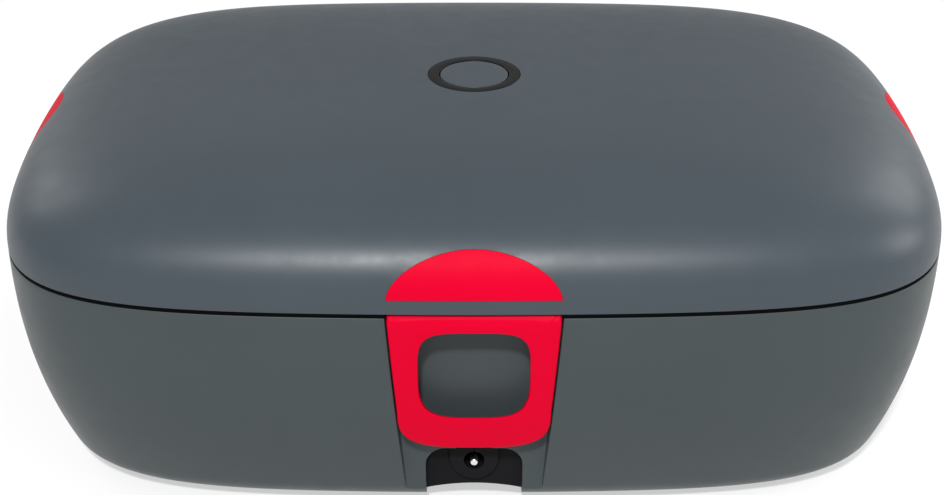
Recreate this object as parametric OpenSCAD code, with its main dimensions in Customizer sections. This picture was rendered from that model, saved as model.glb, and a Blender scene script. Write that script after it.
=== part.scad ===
/* [Body] */
// Length over the parting line
body_l = 260; // [240:1:290]
// Width over the parting line
body_w = 182; // [174:1:200]
// Height of the base from its underside to the parting line
base_h = 66; // [64:0.5:76]
// Height of the domed lid above the parting line
lid_h = 28; // [27:0.5:34]
// Squareness of the plan corners
corner_n = 5.8; // [5:0.1:7]
// Bow of the sides, as a share of the half size
side_bow = 0.062; // [0.03:0.002:0.08]
// How far the base draws in at its underside
base_draw = 12.8; // [10:0.2:14]
// How late the draw-in starts, as a power
draw_power = 2.24; // [1.9:0.02:2.8]
// Radius where the base turns into its underside
base_edge_r = 7.5; // [6:0.5:9]
// Fullness of the lid dome across
dome_across = 4; // [3.4:0.1:5]
// Fullness of the lid dome upwards
dome_up = 2.65; // [2.3:0.05:3.2]
// Wall of the base and lid shells
wall = 2.5; // [2:0.1:3]
// Thickness of the base floor round its opening
floor_t = 4.5; // [4:0.1:6]
// Gap between the lid rim and the base rim
seam = 0.6; // [0.4:0.1:0.8]
// Points round each moulded outline
outline_pts = 64; // [48:8:80]

/* [Clips] */
// Width of a clip at its pivot
clip_w = 44.5; // [38:0.5:50]
// Width of a clip above its rounded end
clip_end_w = 40.6; // [36:0.5:46]
// Distance from the parting line to the end of a clip
clip_drop = 43.2; // [41:0.2:46]
// Height of the rounded end
clip_end_h = 13; // [10:0.5:16]
// Thickness of the clip plate
clip_t = 3; // [2.4:0.1:3.4]
// Radius of the clip's pivot barrel
clip_barrel_r = 2.6; // [2.5:0.05:2.8]
// Radius of the clip's steel pin
clip_pin_r = 0.75; // [0.6:0.05:0.9]
// Width of the finger window
window_w = 28.4; // [22:0.2:32]
// Height of the finger window
window_h = 26.4; // [20:0.2:28]
// Distance from the parting line to the window's middle
window_drop = 18.3; // [17:0.1:20]
// Depth of the clip channel from the skin
channel_d = 10.5; // [10:0.1:12]
// Gap beside the front clip
front_gap = 0.5; // [0.4:0.1:1]
// Gap beside the side clips, which swing with the lid
side_gap = 1.6; // [1.5:0.1:2]
// How far the side clips sit behind the middle
side_clip_y = 7; // [0:0.5:12]
// Distance of the lid lugs from the clip's middle
lug_x = 11; // [9:0.5:14]
// Width of a lid lug
lug_w = 5; // [4:0.5:6]
// Width of the half-moon inlays
inlay_w = 44.4; // [36:0.2:48]
// Height of the half-moon inlays
inlay_h = 11.7; // [9:0.1:13]
// Strip between the parting line and an inlay
inlay_lift = 4.7; // [4:0.1:6]
// Thickness of the inlays
inlay_t = 1.2; // [0.8:0.1:1.5]

/* [Rear hinge] */
// Distance of the hinge axis below the parting line
hinge_drop = 12; // [11:0.5:14]
// Radius of the hinge barrels
hinge_r = 4; // [3.5:0.1:4.5]
// Radius of the hinge pins
hinge_pin_r = 1.5; // [1.2:0.1:1.8]
// Distance of each hinge from the middle
hinge_x = 42; // [36:1:48]
// Width of a lid arm
arm_w = 22; // [16:1:26]
// Width of each base barrel
barrel_w = 9.7; // [7:0.1:12]

/* [Button] */
// Outer radius of the black ring
ring_r = 13.3; // [12.5:0.1:14]
// Inner radius of the black ring
ring_in_r = 10.05; // [9.5:0.05:10.5]
// Depth of the ring
ring_t = 1.6; // [1.2:0.1:1.8]
// Travel of the button
button_travel = 0.5; // [0.3:0.1:0.6]
// Gap round the button cap
cap_gap = 0.3; // [0.2:0.05:0.4]

/* [Power inlet] */
// Width of the inlet pocket
inlet_w = 26; // [22:0.5:30]
// Height of the inlet pocket
inlet_h = 13.5; // [12:0.5:15]
// Depth of the pocket behind the channel floor
inlet_d = 4.6; // [3.5:0.1:5.5]
// Height of the pocket's floor above the base underside
inlet_floor = 5.5; // [5.2:0.1:6.5]
// Radius of the raised boss round the socket
inlet_boss_r = 6.85; // [6:0.05:7]
// Radius of the socket bore
socket_r = 2.8; // [2.6:0.05:3.2]
// Radius of the centre pin
pin_r = 1.05; // [0.8:0.05:1.3]
// Height of the socket above the base underside
socket_h = 14.2; // [13.5:0.1:15]

/* [Dish and heater] */
// Room between the clip channels and the dish rim, which the gasket runs through
dish_room = 12; // [11:0.5:18]
// Corner radius of the dish at its wall
dish_r = 22; // [16:1:28]
// Width of the dish rim
dish_rim = 4.5; // [3.5:0.1:5]
// Sheet thickness of the dish
dish_t = 0.8; // [0.6:0.1:1]
// Lean of the dish walls from rim to bottom
dish_draft = 5.5; // [3:0.5:8]
// Radius at the bottom of the dish
dish_bottom_r = 6; // [5:0.5:9]
// Sheet thickness of the heated well
pan_t = 1.2; // [1:0.1:1.6]
// Clear gap between the dish and the well
pan_gap = 0.8; // [0.6:0.1:1.2]
// Thickness of the inner deck
deck_t = 2.5; // [2:0.1:3]
// How far the deck lies below the parting line
deck_drop = 4; // [3.5:0.1:5]
// Thickness of the heater foil
foil_t = 0.6; // [0.4:0.1:0.8]
// Thickness of the insulation pad
pad_t = 3; // [2:0.1:3.5]
// Thickness of the dish cover
dish_cover_t = 1.6; // [1.2:0.1:2]
// How far the dish cover's panel stands above its edge
dish_cover_rise = 4; // [3:0.5:5]
// Distance of the vent plug from the middle of the dish cover
vent_x = 60; // [40:1:70]

/* [Lid inside] */
// Thickness of the lid liner
liner_t = 2; // [1.6:0.1:2.4]
// Height of the liner's ceiling above the parting line
liner_h = 13; // [12:0.5:14]
// Height of the lid gasket
gasket_h = 2.5; // [2:0.1:3]
// Width of the lid gasket
gasket_w = 5; // [4:0.2:6]
// Distance of the case screws from the ends
post_in = 58; // [52:1:64]
// Radius of the posts that the case screws go into
post_r = 4.5; // [4:0.1:5]

/* [Underside and battery] */
// How far the feet stand below the base
foot_h = 1.5; // [1:0.1:2.5]
// Radius of the feet
foot_r = 7; // [5:0.5:9]
// Thickness of the bottom cover
plate_t = 2; // [1.6:0.1:2.4]
// Distance from the parting line to the edge of the bottom cover
plate_in = 26; // [24:0.5:29]
// Corner radius of the bottom cover
plate_r = 24; // [20:1:28]
// Width of the ledge that the bottom cover is screwed to
ledge_w = 9; // [7:0.5:11]
// Distance of the feet from the cover's edges
foot_in = 18; // [15:0.5:22]
// Radius of a battery cell
cell_r = 9.1; // [8.8:0.05:9.2]
// Length of a battery cell
cell_l = 65; // [60:0.5:66]
// Gap between neighbouring cells
cell_gap = 0.6; // [0.4:0.1:1]
// Room between the cells and the insulation above them
cell_room = 1.4; // [0.8:0.1:3]
// Thickness of the circuit boards
board_t = 1.6; // [1.2:0.1:2]
// Length of the main board
board_l = 110; // [96:1:120]
// Gap between the main board and the battery tray
board_gap = 5.6; // [4:0.2:8]
// Radius of the case screws
screw_r = 1.5; // [1.2:0.05:1.6]

/* [Hidden] */
half_l = body_l / 2;
half_w = body_w / 2;
part_z = foot_h + base_h;
lid_bottom = part_z + seam / 2;
base_top = part_z - seam / 2;
top_z = part_z + lid_h;
// Clearance between pieces that rest on or in each other
fit = 0.3;
// Clearance between flat faces that bear on each other
seat = 0.1;
// Radial play of a pin in the piece that turns on it, and in the one that holds it
run = 0.05;
hold = 0.02;
// Overshoot of a cut past the face it starts from
cut = 1;
// Share of a superellipse step given to the corners
step_bias = 0.42;

// Outline of body and lid: a bowed superellipse, drawn in by an inset
function signed_pow(v, p) = sign(v) * pow(abs(v), p);
function unit_point(k) =
    let(an = 360 * k / outline_pts, c = signed_pow(cos(an), step_bias), s = signed_pow(sin(an), step_bias))
    let(r = pow(pow(abs(c), corner_n) + pow(abs(s), corner_n), -1 / corner_n))
    [c * r, s * r];
unit_outline = [for (k = [0:outline_pts - 1]) unit_point(k)];
function outline(inset, share = 1) = [for (p = unit_outline)
    [p.x * share * (half_l - inset) * (1 - side_bow * p.y * p.y),
     p.y * share * (half_w - inset) * (1 - side_bow * p.x * p.x)]];
function ring(inset, z, share = 1) = [for (p = outline(inset, share)) [p.x, p.y, z]];

// How far the base skin lies inside the parting outline at height z
function draw_in(z) = base_draw * pow(max(0, 1 - (z - foot_h) / base_h), draw_power);
// Fullness of the round edge under the base
function edge_in(up, r) = up < r ? r - sqrt(r * r - (r - up) * (r - up)) : 0;
function base_ring(w, z) = ring(w + draw_in(z) + edge_in(z - foot_h - w, base_edge_r - w), z);
edge_steps = [0, 25, 50, 75];
draw_steps = 6;
function base_levels(w, top) = concat(
    [for (a = edge_steps) foot_h + w + (base_edge_r - w) * (1 - cos(a))],
    [for (i = [0:draw_steps]) foot_h + base_edge_r + (top - foot_h - base_edge_r) * i / draw_steps]);

// Lid dome: rings that shrink as they rise, closed by a flat crown
dome_steps = [0, 5, 13, 22, 31, 40, 49, 57, 65, 72, 78, 83, 87.5];
function dome_ring(w, a) =
    ring(w, part_z + (lid_h - w) * pow(sin(a), 2 / dome_up), pow(cos(a), 2 / dome_across));

// Height of the dome where its outline has shrunk to a share of the rim's
function dome_z(w, share) = part_z + (lid_h - w) * pow(1 - pow(share, dome_across), 1 / dome_up);

// Where the rear skin stands at a distance x from the middle
function rear_y(x) = let(u = x / (half_l * (1 - side_bow)))
    half_w * pow(1 - pow(u, corner_n), 1 / corner_n) * (1 - side_bow * u * u);

// Rounded rectangle, with the same number of points whatever its size
corner_steps = 7;
function round_rect(l, w, r) = [for (q = [0:3], i = [0:corner_steps])
    let(an = 90 * (q + i / corner_steps), sx = q == 0 || q == 3 ? 1 : -1, sy = q < 2 ? 1 : -1)
    [sx * (l / 2 - r) + r * cos(an), sy * (w / 2 - r) + r * sin(an)]];
function rect_ring(l, w, r, z) = [for (p = round_rect(l, w, r)) [p.x, p.y, z]];
function ellipse_points(a, b, n, count) = [for (k = [0:count - 1])
    let(an = 360 * k / count) [a * signed_pow(cos(an), 2 / n), b * signed_pow(sin(an), 2 / n)]];

module loft(rings) {
    n = len(rings[0]);
    m = len(rings);
    points = [for (r = rings) each r];
    sides = [for (j = [0:m - 2], i = [0:n - 1]) let(a = j * n + i, b = j * n + (i + 1) % n)
        each [[a, a + n, b + n], [a, b + n, b]]];
    bottom = [for (i = [0:n - 1]) i];
    top = [for (i = [n - 1:-1:0]) (m - 1) * n + i];
    polyhedron(points, concat(sides, [bottom, top]));
}

// A round tube swept along a route of points
function unit_vec(v) = v / norm(v);
function heading(path, i) = unit_vec(path[min(i + 1, len(path) - 1)] - path[max(i - 1, 0)]);
module wire(path, r) {
    rings = [for (i = [0:len(path) - 1])
        let(t = heading(path, i), u = unit_vec(cross([0.31, 0.95, 0.1], t)), v = cross(t, u))
        [for (k = [0:7]) path[i] + r * (cos(45 * k) * u + sin(45 * k) * v)]];
    loft(rings);
}

module screw(length, r, head_r, head_h) {
    cylinder(h = length, r = r, $fn = 24);
    cylinder(h = head_h, r = head_r, $fn = 24);
}

// Clip stations: local Y runs inwards from the skin, local X along the wall
CLIPS = ["front", "left", "right"];
module at_clip(side) {
    if (side == "front") translate([0, -half_w, 0]) children();
    if (side == "left") translate([-half_l, side_clip_y, 0]) rotate([0, 0, -90]) children();
    if (side == "right") translate([half_l, side_clip_y, 0]) rotate([0, 0, 90]) children();
}
function clip_gap(side) = side == "front" ? front_gap : side_gap;

// A profile drawn in local Y and Z, stretched along local X
module along_wall(length) {
    rotate([90, 0, 90]) translate([0, 0, -length / 2]) linear_extrude(length) children();
}
// A profile drawn in local X and Z, pushed in from the front
module into_wall(from, to) {
    translate([0, to, 0]) rotate([90, 0, 0]) linear_extrude(to - from) children();
}

// Clip geometry
pivot_y = clip_barrel_r;
pivot_z = lid_bottom - fit - clip_barrel_r;
clip_end_z = part_z - clip_drop;
window_z = part_z - window_drop;
eye_r = clip_pin_r + 0.85;
clip_skin = pivot_y - eye_r - fit;
clip_steps = 8;
function clip_face(back) = [for (i = [0:clip_steps])
    let(z = clip_end_z - cut + (pivot_z - clip_barrel_r * back - clip_end_z + cut) * i / clip_steps)
    [draw_in(z) + clip_t * back, z]];
function reverse(list) = [for (i = [len(list) - 1:-1:0]) list[i]];
barrel_back = acos((clip_t - clip_barrel_r) / clip_barrel_r);
clip_profile = concat(clip_face(0),
    [for (i = [1:14]) let(an = 180 - (180 + barrel_back) * i / 14)
        [pivot_y + clip_barrel_r * cos(an), pivot_z + clip_barrel_r * sin(an)]],
    reverse(clip_face(1)));
end_steps = 12;
function clip_front(grow) = concat(
    [[clip_w / 2 + grow, part_z + cut]],
    [for (i = [0:end_steps]) let(an = -180 * i / end_steps)
        [(clip_end_w / 2 + grow) * signed_pow(cos(an), 0.62),
         clip_end_z + clip_end_h + (clip_end_h + grow) * signed_pow(sin(an), 0.62)]],
    [[-clip_w / 2 - grow, part_z + cut]]);
// The catch rib behind the clip's end, and the ridge on the channel floor above it
catch_z = clip_end_z + 2.4;
catch_h = 2.8;
ridge_gap = 0.3;
nib_out = 2;
catch_w = 24;
catch_y = draw_in(catch_z) + clip_t + nib_out;

// The channel in the base, as seen from outside
channel_slope = (clip_w - clip_end_w) / 2 / (clip_drop - clip_end_h);
function channel_half(z, gap) = clip_end_w / 2 + gap + channel_slope * (z - clip_end_z - clip_end_h);
module channel_outline(gap, low, high) {
    polygon([[-channel_half(high, gap), high], [channel_half(high, gap), high],
        [channel_half(low, gap), low], [-channel_half(low, gap), low]]);
}
channel_wall_w = clip_w + 2 * side_gap + 2 * wall;

// Rear hinge
arm_near = hinge_x - arm_w / 2;
arm_far = hinge_x + arm_w / 2;
hinge_y = rear_y(arm_near) + hinge_r + 0.5;
hinge_z = part_z - hinge_drop;
hinge_gap = 0.3;
hinge_span = arm_w + 2 * hinge_gap + 2 * barrel_w;
// Where barrels and arms start inside the wall, and how far the barrels' gussets run down
root = 0.4;
gusset_h = 10;
// Shift that puts the origin under the middle of the whole outline
body_y = -(hinge_y + hinge_r - half_w) / 2;
module placed() {
    translate([0, body_y, 0]) children();
}

// Levels inside the base
deck_z = part_z - deck_drop;
pan_rim_z = deck_z + seat;
dish_rim_z = pan_rim_z + pan_t + seat;
dish_l = 2 * (half_l - channel_d - wall - dish_room);
dish_w = 2 * (half_w - channel_d - wall - dish_room);
wall_l = dish_l - 2 * dish_rim;
wall_w = dish_w - 2 * dish_rim;
pan_rim = 2;
pan_l = dish_l + 2 * pan_rim;
pan_w = dish_w + 2 * pan_rim;
opening_gap = 0.5;
opening_l = wall_l + 2 * (pan_gap + pan_t + opening_gap);
opening_w = wall_w + 2 * (pan_gap + pan_t + opening_gap);
opening_r = dish_r + pan_gap + pan_t;
collar_t = 2;
collar_h = 5;

// The gasket runs round the pan, held in a channel under the lid liner
gasket_gap = 2.5;
gasket_l = pan_l + 2 * gasket_gap + gasket_w;
gasket_b = pan_w + 2 * gasket_gap + gasket_w;
gasket_r = dish_r + dish_rim + pan_rim + gasket_gap;
gasket_z = deck_z + fit;
holder_w = gasket_w + 1.4;

// Case screws stand between the gasket and the long walls
post_x = half_l - post_in;
post_y = gasket_b / 2 + holder_w / 2 + 0.8 + post_r;
POSTS = [for (sx = [-1, 1], sy = [-1, 1]) [sx * post_x, sy * post_y]];
post_drop = 30;
post_low = 20;
rib_l = 12;
rib_t = 3;
pilot_r = screw_r * 0.8;
head_r = screw_r * 2 - 0.2;
head_h = 1.3;
hole_r = screw_r + 0.2;
case_screw_l = 13;
liner_screw_l = 9;

// Underside
plate_top = foot_h + plate_t;
floor_z = foot_h + floor_t;
plate_l = body_l - 2 * plate_in;
plate_w = body_w - 2 * plate_in;
ledge_l = plate_l - 2 * ledge_w;
ledge_b = plate_w - 2 * ledge_w;
foot_set = 1;

// Battery
cell_lift = 1.4;
cell_z = plate_top + seat + cell_lift + cell_r;
cell_pitch = 2 * cell_r + cell_gap;
cell_mid = 1.2;
strap_t = 0.3;
strap_h = 7;
tray_end = 2.3;
tray_side = 1.5;
tray_l = 2 * (cell_l + cell_mid + tray_end);
tray_w = 4 * cell_pitch + 2 * tray_side;
tray_h = cell_r;
guard_x = tray_l / 2 + 1;
guard_w = 44;
guard_h = 17;

// The well's stack stands on the cells: insulation, heater foil, pan and dish
pad_z = cell_z + cell_r + cell_room;
foil_z = pad_z + pad_t + seat;
pan_floor_z = foil_z + foil_t + seat + pan_t;
dish_bottom_z = pan_floor_z + seat;

// Power inlet
inlet_y = -half_w + channel_d;
inlet_back = inlet_y + inlet_d;
inlet_z = foot_h + inlet_floor;
socket_z = foot_h + socket_h;
inlet_r = 4;
jack_w = 9;
jack_h = 11;
jack_room = 10;
jack_back = inlet_back + wall + jack_room;
board_top = socket_z - jack_h / 2 - seat;
board_front = inlet_back + wall + 0.7;
board_end = -tray_w / 2 - board_gap;
board_w = board_end - board_front;
standoff_x = board_l / 2 - 6;
standoff_in = 6;
standoff_r = 3.5;
board_screw_r = screw_r * 0.6;
board_screw_l = 5;
board_head_h = 1;

module base_block() {
    loft([for (z = base_levels(0, base_top)) base_ring(0, z)]);
}
module base_cavity() {
    difference() {
        loft(concat([base_ring(wall, floor_z)],
            [for (z = base_levels(wall, base_top + cut)) if (z > floor_z + 0.5) base_ring(wall, z)]));
        for (side = CLIPS)
            at_clip(side)
                translate([-channel_wall_w / 2, -cut, 0])
                    cube([channel_wall_w, channel_d + wall + cut, part_z + 2 * cut]);
        translate([-inlet_w / 2 - wall, -half_w, 0])
            cube([inlet_w + 2 * wall, channel_d + inlet_d + wall, inlet_z + inlet_h + wall]);
        for (p = POSTS)
            translate([p.x, p.y, part_z - post_drop])
                cylinder(h = post_drop - deck_drop - deck_t - seat, r = post_r, $fn = 32);
        for (p = POSTS)
            translate([p.x - rib_t / 2, p.y > 0 ? p.y : p.y - rib_l, part_z - post_drop])
                cube([rib_t, rib_l, post_low]);
        for (sx = [-1, 1])
            translate([sx * standoff_x, board_front + standoff_in, 0])
                cylinder(h = board_top - board_t - seat, r = standoff_r, $fn = 32);
    }
}
module inlet_outline(grow) {
    hw = inlet_w / 2 + grow;
    top = inlet_z + inlet_h + grow;
    polygon(concat([[-hw, inlet_z - grow], [hw, inlet_z - grow]],
        [for (i = [0:6]) [hw - inlet_r + inlet_r * cos(15 * i), top - inlet_r + inlet_r * sin(15 * i)]],
        [for (i = [0:6]) [-hw + inlet_r - inlet_r * sin(15 * i), top - inlet_r + inlet_r * cos(15 * i)]]));
}
scoop_set = 3.2;
scoop_r = (inlet_w * inlet_w / 4 + scoop_set * scoop_set) / (2 * scoop_set);

module base_barrel_profile(x) {
    inner = rear_y(x) - wall + root;
    low = hinge_z - hinge_r - gusset_h;
    union() {
        polygon([[inner, hinge_z + hinge_r], [hinge_y, hinge_z + hinge_r],
            [hinge_y + hinge_r * 0.9, hinge_z - hinge_r * 0.3], [hinge_y + 1, hinge_z - hinge_r],
            [rear_y(x) - 1, low], [inner, low]]);
        translate([hinge_y, hinge_z]) circle(r = hinge_r, $fn = 48);
    }
}
module base_barrels() {
    for (sx = [-1, 1]) {
        translate([sx * (arm_far + hinge_gap + barrel_w / 2), 0, 0])
            along_wall(barrel_w) base_barrel_profile(arm_far + hinge_gap + barrel_w);
        translate([sx * (arm_near - hinge_gap - barrel_w / 2), 0, 0])
            along_wall(barrel_w) base_barrel_profile(arm_near);
    }
}
module hinge_bore(r) {
    for (sx = [-1, 1])
        translate([sx * hinge_x - hinge_span / 2 - cut, hinge_y, hinge_z])
            rotate([0, 90, 0]) cylinder(h = hinge_span + 2 * cut, r = r, $fn = 48);
}
plate_screw_x = plate_l * 0.3;
screw_spots = [for (sx = [-1, 1]) each [[sx * (plate_l - ledge_w) / 2, 0],
    [sx * plate_screw_x, (plate_w - ledge_w) / 2], [sx * plate_screw_x, -(plate_w - ledge_w) / 2]]];

module base_shell() {
    color([0.30, 0.335, 0.345])
        difference() {
            union() {
                difference() {
                    base_block();
                    base_cavity();
                    for (side = CLIPS)
                        at_clip(side)
                            into_wall(-wall * 2, channel_d)
                                channel_outline(clip_gap(side), foot_h - cut, part_z + cut);
                    into_wall(inlet_y - cut, inlet_back) inlet_outline(0);
                    translate([0, inlet_y + scoop_set - scoop_r, foot_h - cut])
                        cylinder(h = inlet_floor + 2 * cut, r = scoop_r, $fn = 96);
                    translate([-jack_w / 2 - fit, inlet_y, board_top - cut])
                        cube([jack_w + 2 * fit, inlet_d + wall + cut, jack_h + cut + 2 * fit]);
                    translate([0, 0, foot_h - cut])
                        linear_extrude(plate_t + cut + seat) polygon(round_rect(plate_l, plate_w, plate_r));
                    linear_extrude(floor_z + cut)
                        polygon(round_rect(ledge_l, ledge_b, plate_r - ledge_w));
                }
                base_barrels();
                for (side = CLIPS)
                    at_clip(side)
                        along_wall(catch_w)
                            polygon([[catch_y + ridge_gap, catch_z + catch_h + ridge_gap],
                                [channel_d + 0.5, catch_z + catch_h + ridge_gap],
                                [channel_d + 0.5, catch_z + catch_h + ridge_gap + 3.2],
                                [channel_d - 0.6, catch_z + catch_h + ridge_gap + 2.6]]);
            }
            hinge_bore(hinge_pin_r + hold);
            for (p = screw_spots)
                translate([p.x, p.y, 0]) cylinder(h = floor_z + cut, r = pilot_r, $fn = 24);
            for (p = POSTS)
                translate([p.x, p.y, deck_z - case_screw_l - cut])
                    cylinder(h = case_screw_l + cut, r = pilot_r, $fn = 24);
            for (sx = [-1, 1])
                translate([sx * standoff_x, board_front + standoff_in, plate_top + 1])
                    cylinder(h = board_top, r = board_screw_r, $fn = 24);
        }
}

foot_spots = [for (sx = [-1, 1], sy = [-1, 1]) [sx * (plate_l / 2 - foot_in), sy * (plate_w / 2 - foot_in)]];
plate_rib_in = 2.5;
plate_rib_t = 1.8;
plate_rib_l = ledge_b - 2 * (plate_r - ledge_w);
plate_rib_h = 6;
module bottom_cover() {
    color([0.24, 0.26, 0.27])
        difference() {
            union() {
                translate([0, 0, foot_h])
                    linear_extrude(plate_t)
                        polygon(round_rect(plate_l - 2 * fit, plate_w - 2 * fit, plate_r - fit));
                for (sx = [-1, 1])
                    translate([sx * standoff_x, board_end - standoff_r - 1, foot_h])
                        cylinder(h = board_top - board_t - seat - foot_h, r = standoff_r - 0.5, $fn = 32);
                for (sx = [-1, 1])
                    translate([sx * (ledge_l / 2 - plate_rib_in) - plate_rib_t / 2, -plate_rib_l / 2, foot_h])
                        cube([plate_rib_t, plate_rib_l, plate_t + plate_rib_h]);
                for (sx = [-1, 1])
                    translate([sx * (tray_l / 2 + plate_rib_h) - plate_rib_t / 2, -tray_w / 2, foot_h])
                        cube([plate_rib_t, tray_w, plate_t + tray_h / 2]);
            }
            for (p = screw_spots)
                translate([p.x, p.y, foot_h - cut]) cylinder(h = plate_t + 2 * cut, r = hole_r, $fn = 24);
            for (p = screw_spots)
                translate([p.x, p.y, foot_h - cut]) cylinder(h = cut + head_h, r = head_r + 0.2, $fn = 24);
            for (p = foot_spots)
                translate([p.x, p.y, foot_h - cut])
                    cylinder(h = cut + foot_set, r = foot_r + fit / 2, $fn = 48);
        }
}
foot_edge = 0.6;
module rubber_feet() {
    color([0.1, 0.1, 0.1])
        for (p = foot_spots)
            translate([p.x, p.y, 0])
                rotate_extrude($fn = 48)
                    polygon([[0, 0], [foot_r - foot_edge, 0], [foot_r, foot_edge],
                        [foot_r, foot_h + foot_set - seat], [0, foot_h + foot_set - seat]]);
}
module cover_screws() {
    color([0.6, 0.6, 0.62])
        for (p = screw_spots)
            translate([p.x, p.y, foot_h + 0.2])
                screw(floor_t - 0.7, pilot_r - hold, head_r, head_h - 0.2 - seat);
}
module inner_deck() {
    color([0.2, 0.22, 0.23])
        difference() {
            union() {
                translate([0, 0, deck_z - deck_t]) linear_extrude(deck_t) polygon(outline(wall + fit));
                translate([0, 0, deck_z - deck_t - collar_h])
                    linear_extrude(collar_h + 1)
                        polygon(round_rect(opening_l + 2 * collar_t, opening_w + 2 * collar_t,
                            opening_r + collar_t));
            }
            translate([0, 0, deck_z - deck_t - collar_h - cut])
                linear_extrude(deck_t + collar_h + 2 * cut)
                    polygon(round_rect(opening_l, opening_w, opening_r));
            for (side = CLIPS)
                at_clip(side)
                    translate([-channel_wall_w / 2 - fit, -cut, deck_z - deck_t - cut])
                        cube([channel_wall_w + 2 * fit, channel_d + wall + fit + cut, deck_t + 2 * cut]);
            for (p = POSTS)
                translate([p.x, p.y, deck_z - deck_t - cut])
                    cylinder(h = deck_t + 2 * cut, r = hole_r, $fn = 24);
        }
}
module deck_screws() {
    color([0.6, 0.6, 0.62])
        for (p = POSTS)
            translate([p.x, p.y, deck_z + seat + head_h])
                mirror([0, 0, 1]) screw(case_screw_l, pilot_r - hold, head_r, head_h);
}

// A drawn tray: outside up from its floor, out and round the rim, and down the inside
tray_turns = [0, 30, 60, 90];
module drawn_tray(l, w, r, t, rim, lean, low_r, bottom, rim_top) {
    top = rim_top - t;
    height = top - bottom;
    function side(up, d) = let(k = lean * (1 - up / height)) [l + 2 * d - 2 * k, w + 2 * d - 2 * k, r + d];
    function at(up, d, turn) = let(s = side(up, d)) [s[0] - 2 * turn, s[1] - 2 * turn, s[2] - turn * 0.8];
    outer = [for (a = tray_turns)
        let(q = at(low_r * (1 - cos(a)), 0, low_r * (1 - sin(a))))
        rect_ring(q[0], q[1], q[2], bottom + low_r * (1 - cos(a)))];
    inner = [for (a = reverse(tray_turns))
        let(q = at(low_r * (1 - cos(a)), -t, (low_r - t) * (1 - sin(a))))
        rect_ring(q[0], q[1], q[2], bottom + t + (low_r - t) * (1 - cos(a)))];
    loft(concat(outer,
        [rect_ring(l, w, r, top), rect_ring(l + 2 * rim, w + 2 * rim, r + rim, top),
         rect_ring(l + 2 * rim, w + 2 * rim, r + rim, rim_top),
         rect_ring(l - 2 * t, w - 2 * t, r - t, rim_top)],
        inner));
}
module heating_pan() {
    color([0.72, 0.73, 0.74])
        drawn_tray(wall_l + 2 * (pan_gap + pan_t), wall_w + 2 * (pan_gap + pan_t), dish_r + pan_gap, pan_t,
            (pan_l - wall_l) / 2 - pan_gap - pan_t, dish_draft, dish_bottom_r + pan_gap + pan_t,
            pan_floor_z - pan_t, pan_rim_z + pan_t);
}
foil_in = 13;
foil_l = wall_l - 2 * (dish_draft + foil_in);
foil_w = wall_w - 2 * (dish_draft + foil_in);
foil_r = 8;
tab_x = 35;
tab_w = 12;
tab_l = 6;
module heater_foil() {
    color([0.85, 0.55, 0.2])
        translate([0, 0, foil_z])
            linear_extrude(foil_t)
                union() {
                    polygon(round_rect(foil_l, foil_w, foil_r));
                    translate([tab_x - tab_w / 2, -foil_w / 2 - tab_l]) square([tab_w, tab_l + 2]);
                }
}
module insulation_pad() {
    color([0.85, 0.84, 0.8])
        translate([0, 0, pad_z]) linear_extrude(pad_t) polygon(round_rect(foil_l, foil_w - 2, foil_r));
}
fuse_r = 1.9;
fuse_l = 11;
fuse_lead_r = 0.4;
fuse_x = foil_l / 2 + fuse_r + 3;
module thermal_fuse() {
    color([0.8, 0.8, 0.82])
        translate([fuse_x, 0, pan_floor_z - pan_t - seat - fuse_r])
            rotate([90, 0, 0]) union() {
                translate([0, 0, -fuse_l / 2]) cylinder(h = fuse_l, r = fuse_r, $fn = 32);
                translate([0, 0, -fuse_l]) cylinder(h = 2 * fuse_l, r = fuse_lead_r, $fn = 16);
            }
}
sensor_size = [5, 8, 2.6];
module pan_sensor() {
    color([0.15, 0.15, 0.16])
        translate([-fuse_x, 0, pan_floor_z - pan_t - seat - sensor_size.z / 2])
            cube(sensor_size, center = true);
}

module cell_places() {
    for (sx = [-1, 1], k = [0:3])
        translate([sx * (cell_l / 2 + cell_mid), (k - 1.5) * cell_pitch, cell_z])
            rotate([0, 90, 0]) children();
}
cell_edge = 0.8;
cell_cap_h = 1.5;
cell_cap_r = 3.2;
module battery_cells() {
    end = cell_l / 2;
    shoulder = end - cell_cap_h;
    color([0.16, 0.45, 0.55])
        cell_places()
            rotate_extrude($fn = 48)
                polygon([[0, -end], [cell_r - cell_edge, -end], [cell_r, -end + cell_edge],
                    [cell_r, shoulder - cell_edge], [cell_r - cell_edge, shoulder],
                    [cell_cap_r, shoulder], [cell_cap_r, end], [0, end]]);
}
module battery_tray() {
    color([0.12, 0.13, 0.14])
        difference() {
            translate([-tray_l / 2, -tray_w / 2, plate_top + seat]) cube([tray_l, tray_w, tray_h]);
            for (k = [0:3])
                translate([-cell_l - cell_mid - strap_t - fit, (k - 1.5) * cell_pitch, cell_z])
                    rotate([0, 90, 0])
                        cylinder(h = 2 * (cell_l + cell_mid + strap_t + fit), r = cell_r + seat, $fn = 48);
        }
}
strap_l = cell_pitch * 1.5;
module cell_straps() {
    color([0.75, 0.74, 0.7])
        for (sx = [-1, 0, 1], k = [-1, 1])
            translate([sx * (cell_l + cell_mid + seat + strap_t / 2), k * cell_pitch, cell_z + strap_h / 2 - 1])
                cube([strap_t, strap_l, strap_h], center = true);
}
guard_chip = [1.4, 6, 5];
module protection_board() {
    color([0.1, 0.4, 0.25])
        union() {
            translate([guard_x, -guard_w / 2, plate_top + seat]) cube([board_t, guard_w, guard_h]);
            for (k = [-1:1])
                translate([guard_x + board_t + guard_chip.x / 2 - 0.2, k * guard_w / 4, plate_top + guard_h / 2])
                    cube(guard_chip, center = true);
        }
}
chip_x = [-42, -28, 9];
chip_in = 10;
chip_w = 9;
chip_h = 2.4;
coil_w = 8;
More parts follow.
